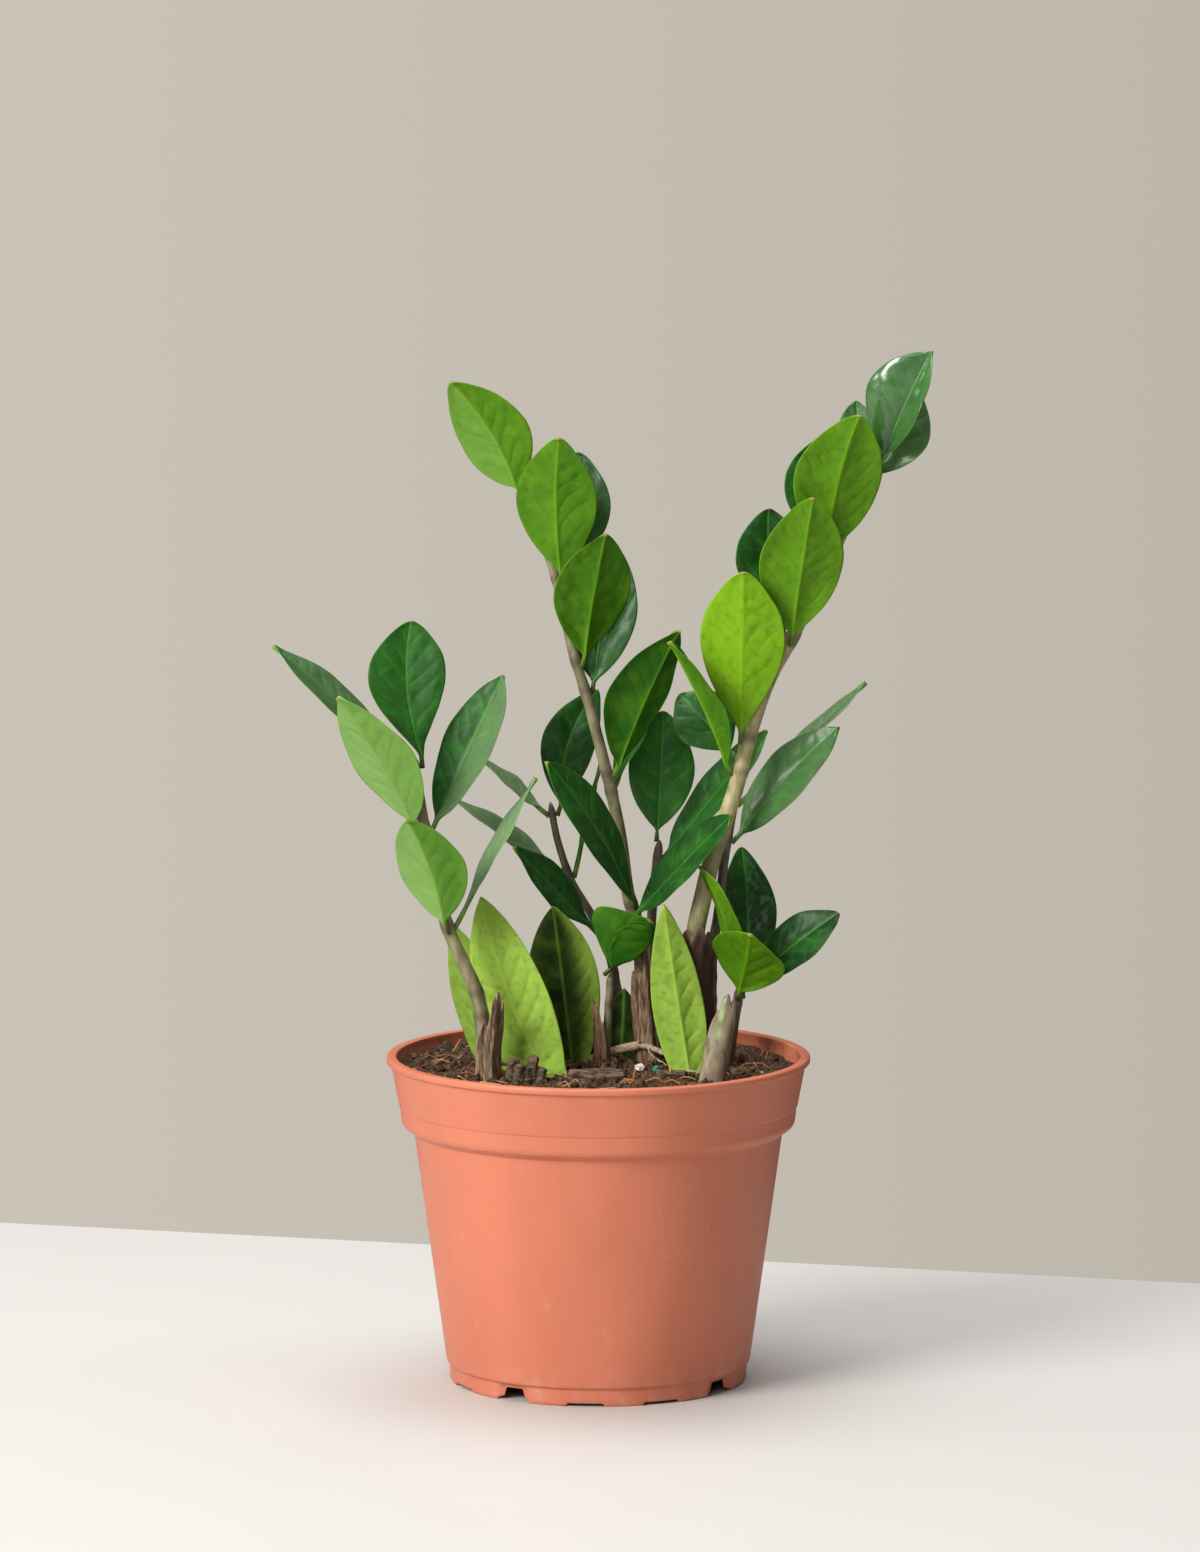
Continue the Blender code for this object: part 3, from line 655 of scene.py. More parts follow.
# %% [markdown]
# ## Leaf cuttings
#
# Single leaflets pushed into the soil root and make new plants. They have lived in full light, so they
# are pale yellow-green, and enough light comes through them to make them glow. They use the same blade,
# with a planted end in place of a stalk. One of them has painted light: its right side is painted
# brighter.

# %% The cuttings
CUTTING_TONES = {"1": 0.95, "2": 0.6, "3": 0.0, "4": 0.82, "5": 0.0}
# The cutting with painted light on its right side.
PAINTED_LIGHT_CUTTING = "3"
for number, tone in CUTTING_TONES.items():
    node = f"cutting_{number}"
    points, faces, marks = blade(node, 50 + int(number), 0.08, planted=True)
    # Painted light: this cutting's right side is painted brighter.
    if number == PAINTED_LIGHT_CUTTING:
        tone = tone + 0.85 * right_half(marks["hand"], 9, 0.55)
    marks["tone"] = tone
    add_piece(f"{node}_blade", points, faces, CUTTING, [node], marks)
print(len(CUTTING_TONES), "cuttings")

# %% [markdown]
# ## Stems
#
# Each stem is a leaf's own stalk, thick at the foot and slim above, with a darker, slightly swollen ring
# at each place where a leaflet grows. The CAD stem gives the line: its sections at even heights have
# middles that lie on it. A tube of thirty sides follows that line, and the rings are part of the shape.


# %% The line of a CAD stem
def section(node, height):
    """The middle and radius of a node's section at a height, all in millimetres."""
    mesh = frame["nodes"][node].data
    places = np.array([v.co for v in mesh.vertices]) / MM
    ends = places[np.array([edge.vertices[:] for edge in mesh.edges])]
    low, high = ends[:, 0], ends[:, 1]
    crossing = (low[:, 2] - height) * (high[:, 2] - height) < 0
    low, high = low[crossing], high[crossing]
    share = (height - low[:, 2]) / (high[:, 2] - low[:, 2])
    points = low + share[:, None] * (high - low)
    middle = (points.max(0) + points.min(0)) / 2
    return middle, np.ptp(points[:, 1]) / 2


def stem_route(node):
    """Points a millimetre apart along a stem, with its radius at each."""
    low, high = (corner.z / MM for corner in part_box(node))
    heights = np.linspace(low + 2.5, high - 1.2, round((high - low) / 5))
    found = [section(node, z) for z in heights]
    middles = np.array([middle for middle, _ in found])
    radii = np.array([radius for _, radius in found])
    at = np.arange(heights[0], high - 0.4, 1.0)
    return curve_through(heights, middles, at), curve_through(heights, radii, at)


def tube(line, radii, sides):
    """A ring of points round each point of a line. Radii may differ from side to side."""
    along = unit(np.gradient(line, axis=0))
    across = unit(np.cross(along, [0, 1, 0.02]))
    behind = np.cross(across, along)
    turn = turns(sides)[None, :, None]
    ring = across[:, None, :] * np.cos(turn) - behind[:, None, :] * np.sin(turn)
    radii = np.broadcast_to(np.asarray(radii, float).reshape(len(line), -1), (len(line), sides))
    return line[:, None, :] + ring * radii[:, :, None]


# %% [markdown]
# The finish of a stem reads two marks: how close a ring is, and how pale the stem is. Fine lines run
# along it, from a noise that is stretched upwards.

# %% Stem colours
stem_skin = Finish("stem_skin", IOR=1.45)
ring_mark, pale_mark = stem_skin.mark("node"), stem_skin.mark("pale")
lines = stem_skin.speckle(0.35, 3, (1, 1, 0.06))
blotch = stem_skin.speckle(3.5, 3, (1, 1, 0.5))
stem_colour = stem_skin.layers(
    stem_skin.blend(blotch.rise(0.35, 0.7), (0.070, 0.055, 0.040), (0.15, 0.135, 0.075)),
    (pale_mark, stem_skin.blend(blotch.rise(0.3, 0.7), (0.24, 0.22, 0.085), (0.46, 0.41, 0.21))),
    (lines.rise(0.45, 0.8) * 0.35, (0.045, 0.035, 0.025)),
    (ring_mark.rise(0.1, 1.0) * 0.5, (0.060, 0.038, 0.028)),
)
STEM = stem_skin.paint(
    Base_Color=stem_colour,
    Roughness=0.42 + blotch * 0.15,
    Normal=stem_skin.relief(lines * 0.6 + blotch * 0.5, 0.08),
)

# %% The stems
PALE = {"a": 0.35, "b": 0.30, "c": 0.15, "d": 1.0, "e": 0.0, "f": 0.25, "h": 0.0, "i": 0.10}
STEM_SIDES = 30
flutes = 1 + 0.02 * np.sin(5 * turns(STEM_SIDES)) + 0.015 * np.sin(9 * turns(STEM_SIDES) + 1)
for key, pale in PALE.items():
    node = f"stem_{key}"
    line, radii = stem_route(node)
    rings = [base[2] for base in leaf_bases.get(key, [])]
    rings += [line[0, 2] + 26 + 7 * k for k in range(2)]
    node_mark = np.zeros(len(line))
    for z in rings:
        node_mark = np.maximum(node_mark, np.exp(-(((line[:, 2] - z) / 1.6) ** 2)))
    swell = 1 + 0.12 * node_mark
    left = line[-1, 2] - line[:, 2]
    swell = swell * np.sqrt(np.clip(left / 2.6, 0.04, 1))
    points = tube(line, (radii * swell)[:, None] * flutes, STEM_SIDES)
    marks = {"node": np.repeat(node_mark, STEM_SIDES), "pale": pale}
    add_piece(f"{node}_skin", points, loft_faces(len(line), STEM_SIDES), STEM, [node], marks)
    print(node, "has", len(line), "rings of points")

# %% [markdown]
# ## Dried sheaths
#
# A young shoot comes up inside a papery sheath, which dries, splits and stays round the foot. It is a
# thin curled sheet with long wrinkles and a torn top. One function makes the sheet on a stem's line:
# it spreads over part of a turn, each column ends at its own height, and noise creases it.


# %% A curled sheet round a stem
SHEET_ROWS = 48
SHEET_COLUMNS = 44
SHEET_FOOT = 4


def sheath(name, facing, loose, height, spread, tint, seed, lean, narrow, ragged=1.0):
    """A sheath round a stem's foot, with angles in degrees and lengths in millimetres. Loose is its gap
    to the stem, lean is how far its top moves over, narrow is the share of its spread that it loses on
    the way up, and tint runs from -1, nearly black, to 1, tan."""
    node = f"sheath_{name}"
    line, radii = stem_route(f"stem_{name}")
    soil_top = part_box("soil")[1].z / MM - 1
    rng = np.random.default_rng(seed)
    phases = rng.uniform(0, 2 * np.pi, 4)
    u = np.linspace(-1, 1, SHEET_COLUMNS)
    tear = 0.10 * np.abs(np.sin(3.1 * u + phases[0])) + 0.14 * np.abs(np.sin(7.3 * u + phases[1])) ** 3
    tear = 1 - ragged * (tear + 0.30 * np.abs(u) ** 1.5)
    outer, inner = [], []
    t = np.linspace(0, 1, SHEET_ROWS)
    for j in range(SHEET_COLUMNS):
        z = soil_top - SHEET_FOOT + t * (height + SHEET_FOOT) * tear[j]
        share = np.clip((z - soil_top) / height, 0, 1)
        x, y = (np.interp(z, line[:, 2], line[:, k]) + lean[k] * share**2 for k in range(2))
        centre = np.stack([x, y, z], 1)
        half = np.radians(spread / 2) * (1 - narrow * share**1.3)
        angle = np.radians(facing) + u[j] * half
        wrinkle = 0.22 * np.sin(u[j] * 9 + 2.0 * share + phases[2]) + 0.14 * np.sin(u[j] * 19 + phases[3])
        crease = np.array([noise.noise(Vector((u[j] * 3, s * 5, seed))) for s in share])
        radius = radii[0] + loose + 1.4 * share**2 + wrinkle + 0.7 * crease * share
        way = np.stack([np.cos(angle), np.sin(angle), np.zeros(SHEET_ROWS)], 1)
        thick = 0.32 - 0.14 * share[:, None]
        outer.append(centre + way * (radius[:, None] + thick))
        inner.append(centre + way * (radius[:, None] - thick))
    outer, inner = np.array(outer), np.array(inner)
    loop = np.concatenate([outer, inner[::-1]]).transpose(1, 0, 2)
    ring = 2 * SHEET_COLUMNS
    faces = loft_faces(SHEET_ROWS, ring, False, False)
    for row, flip in ((0, False), (SHEET_ROWS - 1, True)):
        for j in range(SHEET_COLUMNS - 1):
            a, d = row * ring + j, (row + 1) * ring - 1 - j
            faces.append([a, a + 1, d - 1, d] if flip else [d, d - 1, a + 1, a])
    marks = {"high": np.repeat(t, ring), "tint": tint}
    add_piece(f"{node}_paper", loop, faces, SHEATH, [node], marks)
    print(node, "is", height, "mm high")


# %% [markdown]
# The sheath's colour is streaked along its length. The mark tint takes a whole sheath from nearly black
# to tan, and its torn top is a little paler. Its surface is rough, and its fibres stand up a little.

# %% Sheath colours
papery = Finish("papery", IOR=1.4)
fibres = papery.speckle(0.45, 4, (1, 1, 0.10))
stains = papery.speckle(4, 3, (1, 1, 0.5))
high, tint = papery.mark("high"), papery.mark("tint")
TAN = (0.45, 0.32, 0.20)
sheath_colour = papery.layers(
    papery.blend(fibres.rise(0.3, 0.72), (0.045, 0.020, 0.011), (0.22, 0.118, 0.062)),
    (tint * stains.rise(0.25, 0.6), papery.blend(fibres.rise(0.3, 0.7), (0.085, 0.050, 0.030), TAN)),
    (tint.rise(0.0, -0.5) * 0.85, (0.034, 0.014, 0.008)),
    (high.rise(0.90, 1.0) * 0.3, TAN),
)
SHEATH = papery.paint(
    Base_Color=sheath_colour,
    Roughness=0.72 + fibres * 0.2,
    Normal=papery.relief(fibres + stains * 0.5, 0.25),
)

# %% The four sheaths
sheath("a", 322, 2.3, 30, 165, 0.90, 11, (3.0, -2.0), 0.40)
sheath("b", 285, 1.9, 43, 190, 0.40, 12, (0.5, -0.5), 0.55)
sheath("d", 268, 1.8, 47, 200, -0.50, 13, (0.0, -0.5), 0.10, 0.45)
sheath("f", 205, 1.7, 24, 150, 0.3, 14, (-1.5, -0.5), 0.6)

# %% [markdown]
# ## The torn stump and the young spike
#
# One shoot was torn off and left a grey-tan stump with a green streak and a notched top. Beside the
# cuttings a dark young spike is coming up. Both are tubes, and short formulas shape their radii. The
# stump's top is cut down on its left, nicked on its right and a little lower behind.

# %% Their finish
shoot_skin = Finish("shoot_skin", IOR=1.45)
skin_lines = shoot_skin.speckle(0.4, 3, (1, 1, 0.08))
skin_spots = shoot_skin.speckle(2.5, 4, (1, 1, 0.4))
shoot_colour = shoot_skin.layers(
    shoot_skin.blend(skin_spots.rise(0.3, 0.7), (0.15, 0.115, 0.075), (0.35, 0.29, 0.19)),
    (skin_lines.rise(0.5, 0.8) * 0.4, (0.10, 0.07, 0.045)),
    (shoot_skin.mark("streak") * 0.85, (0.28, 0.50, 0.18)),
    (shoot_skin.mark("torn"), (0.12, 0.07, 0.045)),
)
SHOOT = shoot_skin.paint(
    Base_Color=shoot_colour,
    Roughness=0.48 + skin_spots * 0.15,
    Normal=shoot_skin.relief(skin_lines + skin_spots * 0.6, 0.10),
)
SPIKE = grained("spike_skin", (0.35, 3, (1, 1, 0.1)), ((0.012, 0.009, 0.008), (0.075, 0.055, 0.04)),
                (0.3, 0.75), (0.6, 0.1), 0.1)

# %% The stump
SHOOT_SIDES = 48
low, high_corner = (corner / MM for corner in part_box("cut_shoot"))
shoot_foot, _ = section("cut_shoot", low.z + 9)
shoot_top, _ = section("cut_shoot", high_corner.z - 9)
lean = (shoot_top - shoot_foot) / (shoot_top[2] - shoot_foot[2])
heights = np.linspace(low.z + 1, high_corner.z - 0.2, 50)
line = shoot_foot + lean * (heights - shoot_foot[2])[:, None]
share = (heights - heights[0]) / np.ptp(heights)
radii = 4.15 - 0.25 * share - 1.1 * np.clip((share - 0.72) / 0.28, 0, 1) ** 1.6
turn = turns(SHOOT_SIDES)
points = tube(line, radii[:, None] * (1 + 0.03 * np.sin(3 * turn + 1))[None, :], SHOOT_SIDES)
round_wall = points[-1] - points[-1].mean(0)
over, back = round_wall[:, 0] / np.abs(round_wall[:, 0]).max(), round_wall[:, 1]
top = 1 - 0.17 * np.clip(0.1 - over, 0, None) ** 1.2 - 0.12 * np.exp(-(((over - 0.5) / 0.22) ** 2))
top = np.minimum(top - 0.06 * (back > 0) + 0.015 * np.sin(7 * turn), 1.0)
base_z = points[0, :, 2]
upper_part = np.clip((share[:, None] - 0.4) / 0.6, 0, 1)
points[:, :, 2] = base_z + (points[:, :, 2] - base_z) * (1 + (top - 1) * upper_part)
wall = points[-1]
hollow = wall + (wall.mean(0) - wall) * 0.45 - np.array([0, 0, 1.5])
points = np.concatenate([points, hollow[None]])
streak = ((back < 0) * np.exp(-(((over + 0.15) / 0.22) ** 2)))[None, :]
streak = streak * np.clip((share - 0.45) / 0.25, 0, 1)[:, None] * (0.6 + 0.4 * np.sin(share * 40)[:, None])
torn = np.append(np.clip((share - 0.97) / 0.03, 0, 1), 1.0)
marks = {
    "streak": np.concatenate([streak, np.zeros((1, SHOOT_SIDES))]),
    "torn": np.repeat(torn, SHOOT_SIDES),
}
faces = loft_faces(len(points), SHOOT_SIDES)
add_piece("cut_shoot_skin", points, faces, SHOOT, ["cut_shoot"], marks)

# %% The spike
low, high_corner = (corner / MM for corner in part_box("bud_spike"))
middle = (low + high_corner) / 2
SPIKE_ROWS, SPIKE_SIDES = 30, 16
share = np.linspace(0, 1, SPIKE_ROWS)
x = middle.x + 0.5 * np.sin(share * 3)
y = np.full(SPIKE_ROWS, middle.y)
line = np.stack([x, y, low.z + share * (high_corner.z - low.z)], 1)
points = tube(line, 1.4 * (1 - share**3) + 0.08, SPIKE_SIDES)
faces = loft_faces(SPIKE_ROWS, SPIKE_SIDES)
add_piece("bud_spike_skin", points, faces, SPIKE, ["bud_spike"])

# %% [markdown]
# ## The pot
#
# The pot is injection moulded, so its wall is one even thickness and every edge is rounded. It is turned
# from a profile in 720 steps. The base ring isn't the same all round: its lower edge rises over twelve
# notches, four of them deep, and the face slopes in round each deep one. The row heights follow that
# edge, so no cutting is needed. Only the four drain holes are cut.

# %% Rounded corners for a profile
POT_STEPS = 720


def rounded(corners):
    """A profile with each corner (radius, height, rounding) turned into a short arc."""
    found = []
    for k, (r, z, size) in enumerate(corners):
        here = np.array([r, z])
        if size == 0 or k == len(corners) - 1:
            found.append(here)
            continue
        before = np.array(corners[k - 1][:2]) - here
        after = np.array(corners[k + 1][:2]) - here
        a = here + before * min(0.45, size / np.linalg.norm(before))
        b = here + after * min(0.45, size / np.linalg.norm(after))
        for t in (0, 0.25, 0.5, 0.75, 1):
            found.append((1 - t) ** 2 * a + 2 * t * (1 - t) * here + t**2 * b)
    return np.array(found)


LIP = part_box("pot")[1].x / MM
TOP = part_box("pot")[1].z / MM
LEDGE = 5.6
FLOOR_TOP = 7.0
inner_wall = [(0, FLOOR_TOP, 0), (45.2, FLOOR_TOP, 1.5), (55.0, 79.6, 2), (58.6, 83.0, 2),
              (61.8, TOP - 2.2, 0.6)]
rolled_lip = [(61.8, TOP, 0.5), (LIP, TOP, 0.8), (LIP, TOP - 2, 0.7), (LIP - 1.35, TOP - 2.1, 0.3)]
rim_band = [(61.1, 85.3, 0.25), (60.75, 85.0, 0.2), (60.3, 80.4, 0.5), (59.7, 79.2, 0.3),
            (57.7, 77.8, 0.4)]
outer_wall = [(56.5, 77.2, 0.5), (46.65, LEDGE + 0.3, 0.5), (46.1, LEDGE - 0.25, 0.3)]
profile = rounded(inner_wall + rolled_lip + rim_band + outer_wall)
print("the pot's profile has", len(profile), "points")

# %% [markdown]
# Round the ring, the height of the lower edge and the slope round each deep notch depend only on the
# distance from the nearest notch's middle.

# %% The base ring
RING_RADIUS = 45.5
angle = turns(POT_STEPS)
degrees = np.degrees(angle)


def from_notch(pitch, start):
    """Distance along the ring, in millimetres, to the nearest notch of a set."""
    off = (degrees - start + pitch / 2) % pitch - pitch / 2
    return np.radians(off) * RING_RADIUS


deep, every = from_notch(90, 55), from_notch(30, 25)


def ramp(distance, inner, outer):
    """1 within inner, 0 beyond outer, straight between them."""
    return np.clip((outer - np.abs(distance)) / (outer - inner), 0, 1)


edge_up = np.maximum(3.9 * ramp(deep, 3.1, 4.4), 0.9 * ramp(every, 5.3, 6.2))
recess = ramp(deep, 4.3, 6.4)
ring_rows = []
for share in (0.0, 0.15, 0.35, 0.55, 0.75, 0.93):
    z = LEDGE - 0.35 + (edge_up - LEDGE + 0.35) * share
    ring_rows.append((45.8 - 0.25 * share - 1.15 * recess * min(1, share * 2.2), z))
ring_rows.append((45.35 - 1.15 * recess, edge_up))
ring_rows.append((44.2 - 0.2 * recess, edge_up + 0.05))
ring_rows.append((np.full(POT_STEPS, 44.0), edge_up + 0.25))
ring_rows.append((np.full(POT_STEPS, 43.9), np.full(POT_STEPS, LEDGE)))
rows = [(np.full(POT_STEPS, r), np.full(POT_STEPS, z)) for r, z in profile[1:]] + ring_rows
warp = 1 + 0.0006 * np.sin(2 * angle + 0.7)
points = []
for radius, z in rows:
    radius = radius * np.minimum(warp, LIP / np.maximum(radius, 1))
    points.append(np.stack([radius * np.cos(angle), radius * np.sin(angle), z], 1))
points = np.array(points)
count = len(rows) * POT_STEPS
points = np.concatenate([points.reshape(-1, 3), [[0, 0, FLOOR_TOP], [0, 0, LEDGE]]])
faces = [face[::-1] for face in loft_faces(len(rows), POT_STEPS, False, False)]
for k in range(POT_STEPS):
    after = (k + 1) % POT_STEPS
    faces.append([count, k, after])
    faces.append([count + 1, count - POT_STEPS + after, count - POT_STEPS + k])

# %% [markdown]
# The plastic is terracotta colour all through. It isn't quite even: it has a faint cloudiness from the
# mould and a fine satin grain. Soil has left dull smears on the inner wall and a little dust above the
# foot.

# %% The pot's finish
plastic = Finish("terracotta_plastic", IOR=1.46)
cloud = plastic.speckle(26, 3, (1, 1, 0.4))
satin = plastic.speckle(0.5, 2)
scuffs = plastic.speckle(5, 5, (1, 1, 0.7))
height_above = plastic.node("ShaderNodeSeparateXYZ", None, {0: plastic.place()}, "Z")
smears = plastic.speckle(7, 5, (1, 1, 1.6)).rise(0.50, 0.75) * plastic.mark("inner")
dust = height_above.rise(16, 2) * scuffs.rise(0.4, 0.8)
pot_colour = plastic.layers(
    plastic.blend(cloud.rise(0.3, 0.7), (0.52, 0.150, 0.080), (0.57, 0.172, 0.095)),
    (scuffs.rise(0.62, 0.78) * 0.14, (0.72, 0.36, 0.26)),
    (smears * 0.45, (0.16, 0.055, 0.034)),
    (dust * 0.25, (0.62, 0.42, 0.34)),
)
PLASTIC = plastic.paint(
    Base_Color=pot_colour,
    Roughness=0.44 + cloud * 0.06 + scuffs * 0.05 + smears * 0.2,
    Normal=plastic.relief(satin * 0.6 + scuffs * 0.4, 0.03),
)
top_row = int(np.argmax(profile[1:, 1] >= TOP - 0.01))
inner_mark = np.zeros(len(points))
inner_mark[: (top_row - 1) * POT_STEPS] = 1.0
pot = add_piece("pot_shell", points, faces, PLASTIC, ["pot"], {"inner": inner_mark})

# %% The drain holes
HOLES = 4
HOLE_CIRCLE, HOLE_RADIUS, HOLE_SIDES = 37.5, 3.5, 32
plugs, plug_faces = [], []
for k in range(HOLES):
    way = math.radians(55 + 360 / HOLES * k)
    x, y = HOLE_CIRCLE * math.cos(way), HOLE_CIRCLE * math.sin(way)
    for z in (4.6, 8.2):
        plugs += [[x + HOLE_RADIUS * math.cos(t), y + HOLE_RADIUS * math.sin(t), z]
                  for t in turns(HOLE_SIDES)]
    plug_faces += [[c + 2 * HOLE_SIDES * k for c in face] for face in loft_faces(2, HOLE_SIDES)]
plug_mesh = bpy.data.meshes.new("plugs")
plug_mesh.from_pydata((np.array(plugs) * MM).tolist(), [], plug_faces)
plug = bpy.data.objects.new("plugs", plug_mesh)
bpy.context.scene.collection.objects.link(plug)
cut = pot.modifiers.new("holes", "BOOLEAN")
cut.object, cut.operation, cut.solver = plug, "DIFFERENCE", "EXACT"
graph = bpy.context.evaluated_depsgraph_get()
drilled = bpy.data.meshes.new_from_object(
    pot.evaluated_get(graph), preserve_all_data_layers=True, depsgraph=graph
)
pot.modifiers.clear()
pot.data = drilled
bpy.data.objects.remove(plug)
print("the pot has", len(drilled.polygons), "faces")

# %% [markdown]
# ## Soil
#
# Potting mix is peat, bark and coir: dark crumbs with hollows between them, and orange fibres that
# stick out. One displaced surface can't show the crumbs' undersides, so there are two layers. A fine
# uneven skin stands for the CAD's soil, and hundreds of separate crumbs and fibres lie on it. The skin's
# level is a little under the top of the CAD's soil, because its lumps rise above that level.

# %% The uneven skin
SUNK = 0.8
EDGE_GAP = 0.1
soil_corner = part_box("soil")[1] / MM
SOIL_TOP = round(soil_corner.z - SUNK, 1)
SOIL_EDGE = round(soil_corner.x - EDGE_GAP, 1)
print("the skin's level is", SOIL_TOP, "mm up and its edge", SOIL_EDGE, "mm out")


def soil_height(x, y):
    """The height of the soil's skin at a place, in millimetres."""
    place = Vector((x, y, 0))
    broad = noise.noise(place / 17) * 1.3 + noise.noise(place / 7) * 1.1
    lumps = abs(noise.noise(place / 3.4 + Vector((9, 2, 0)))) * 2.2
    crumbs = abs(noise.noise(place / 1.5 + Vector((3, 7, 0)))) * 1.0
    edge = max(0.0, math.hypot(x, y) / SOIL_EDGE - 0.65) / 0.35
    heaped = edge * (1.4 + 1.8 * max(0.0, y / SOIL_EDGE) + 1.0 * max(0.0, -x / SOIL_EDGE))
    return SOIL_TOP - 0.9 + broad + lumps + crumbs + heaped


SPOKES, HOOPS = 300, 110
points = [[(SOIL_EDGE - 12) * math.cos(t), (SOIL_EDGE - 12) * math.sin(t), 60.0] for t in turns(SPOKES)]
points += [[(SOIL_EDGE - 0.2) * math.cos(t), (SOIL_EDGE - 0.2) * math.sin(t), SOIL_TOP - 5]
           for t in turns(SPOKES)]
for r in SOIL_EDGE * np.sqrt(np.linspace(0.0001, 1, HOOPS))[::-1]:
    for t in turns(SPOKES):
        x, y = r * math.cos(t), r * math.sin(t)
        points.append([x, y, soil_height(x, y)])
faces = loft_faces(HOOPS + 2, SPOKES)

# %% [markdown]
# The mix is mottled at three sizes: broad warm patches, dark and pale bits, and fine pale grit.

# %% Soil colours
earth = Finish("earth", IOR=1.4)
bits = earth.speckle(1.1, 5)
spread = earth.speckle(9, 3)
grit = earth.speckle(0.3, 2)
earth_colour = earth.layers(
    earth.blend(bits.rise(0.38, 0.70), (0.022, 0.010, 0.005), (0.165, 0.083, 0.036)),
    (spread.rise(0.5, 0.75) * 0.5, (0.10, 0.048, 0.022)),
    (grit.rise(0.68, 0.8) * 0.6, (0.20, 0.12, 0.065)),
)
EARTH = earth.paint(
    Base_Color=earth_colour, Roughness=0.80 + bits * 0.15, Normal=earth.relief(bits + grit * 0.5, 0.7)
)
add_piece("soil_skin", points, faces, EARTH, ["soil"])
print("soil skin:", len(points), "points")


# %% Lumps, and many of them in one mesh
def lump(size, seed, rough_by, stretch, detail):
    """Points and faces of an uneven ball, in millimetres."""
    ball = bpy.data.meshes.new("ball")
    shape = bmesh.new()
    bmesh.ops.create_icosphere(shape, subdivisions=detail, radius=1.0)
    shape.to_mesh(ball)
    shape.free()
    points = np.array([v.co for v in ball.vertices])
    faces = [list(p.vertices) for p in ball.polygons]
    bpy.data.meshes.remove(ball)
    swell = [1 + rough_by * noise.noise(Vector(p) * 1.7 + Vector((seed, 0, seed))) * 1.6 for p in points]
    return points * np.array(swell)[:, None] * np.array(stretch) * size, faces


def spun(points, rng):
    """The points turned to a random attitude."""
    axis, _ = np.linalg.qr(rng.normal(size=(3, 3)))
    return points @ axis


def join(parts):
    """One list of points and faces from several."""
    points, faces, count = [], [], 0
    for part_points, part_faces in parts:
        faces += [[c + count for c in face] for face in part_faces]
        points.append(part_points)
        count += len(part_points)
    return np.concatenate(points), faces


def lay_on_soil(name, parts, finish, marks=None):
    """One piece made of several parts."""
    points, faces = join(parts)
    add_piece(name, points, faces, finish, (), marks)
    print(name, "has", len(parts), "parts")


# %% Crumbs
rng = np.random.default_rng(3)
shapes = [lump(1, k, 0.45, (1, 0.8, 0.65), 2) for k in range(9)]
crumbs = []
while len(crumbs) < 620:
    r, t = SOIL_EDGE * 0.97 * math.sqrt(rng.uniform(0, 1)), rng.uniform(0, 2 * math.pi)
    x, y = r * math.cos(t), r * math.sin(t)
    size = 0.45 + 2.1 * rng.uniform(0, 1) ** 3.2
    ball, ball_faces = shapes[rng.integers(len(shapes))]
    at = np.array([x, y, soil_height(x, y) + 0.25 * size])
    crumbs.append((spun(ball, rng) * size + at, ball_faces))
for _ in range(60):
    x, y, z = rng.normal(0, 1, 3) * [3.4, 2.2, 2.6]
    size = rng.uniform(0.8, 2.1)
    ball, ball_faces = shapes[rng.integers(len(shapes))]
    crumbs.append((spun(ball, rng) * size + [-4 + x, 29 + y, SOIL_TOP + 3.5 + z], ball_faces))
lay_on_soil("soil_crumbs", crumbs, EARTH)

# %% [markdown]
# Coir fibres are thin, springy and orange-tan. Each is a slim bent tube that starts in the soil.

# %% Fibres
COIR = grained("coir", (6, 2), ((0.28, 0.095, 0.028), (0.62, 0.32, 0.12)), (0.35, 0.75), (0.6, 0.1),
               IOR=1.45)


def bent_tube(knots, radius, steps=14, sides=6, taper=0.5):
    """A tube through knots that gets slimmer towards its end."""
    line = curve_through(range(len(knots)), knots, np.linspace(0, len(knots) - 1, steps))
    points = tube(line, radius * (1 - taper * np.linspace(0, 1, steps)), sides)
    return points.reshape(-1, 3), loft_faces(steps, sides)


strands = []
for _ in range(180):
    r, t = SOIL_EDGE * 0.93 * math.sqrt(rng.uniform(0.05, 1)), rng.uniform(0, 2 * math.pi)
    x, y = r * math.cos(t), r * math.sin(t)
    way = rng.uniform(0, 2 * math.pi)
    reach = rng.uniform(3, 11)
    knots = []
    for j in range(4):
        along = reach * j / 3
        way += rng.uniform(-0.25, 0.25)
        px, py = x + along * math.cos(way), y + along * math.sin(way)
        if math.hypot(px, py) > SOIL_EDGE - 1:
            px, py = px * 0.9, py * 0.9
        arch = rng.uniform(0.4, 2.4) * math.sin(math.pi * (j + 0.4) / 3.4)
        knots.append([px, py, soil_height(px, py) + arch])
    knots[1][2], knots[2][2] = (max(knots[j][2], (knots[0][2] + knots[3][2]) / 2 + 0.8) for j in (1, 2))
    strands.append(bent_tube(knots, rng.uniform(0.12, 0.30)))
lay_on_soil("coir_fibres", strands, COIR)

# %% [markdown]
# ## Things that lie on the soil
#
# Strips of bark, a mossy stub of old stalk, a thin dead root that arches over the soil, white grains of
# perlite and one green bead of slow feed. They are small, but they say that this is real soil.

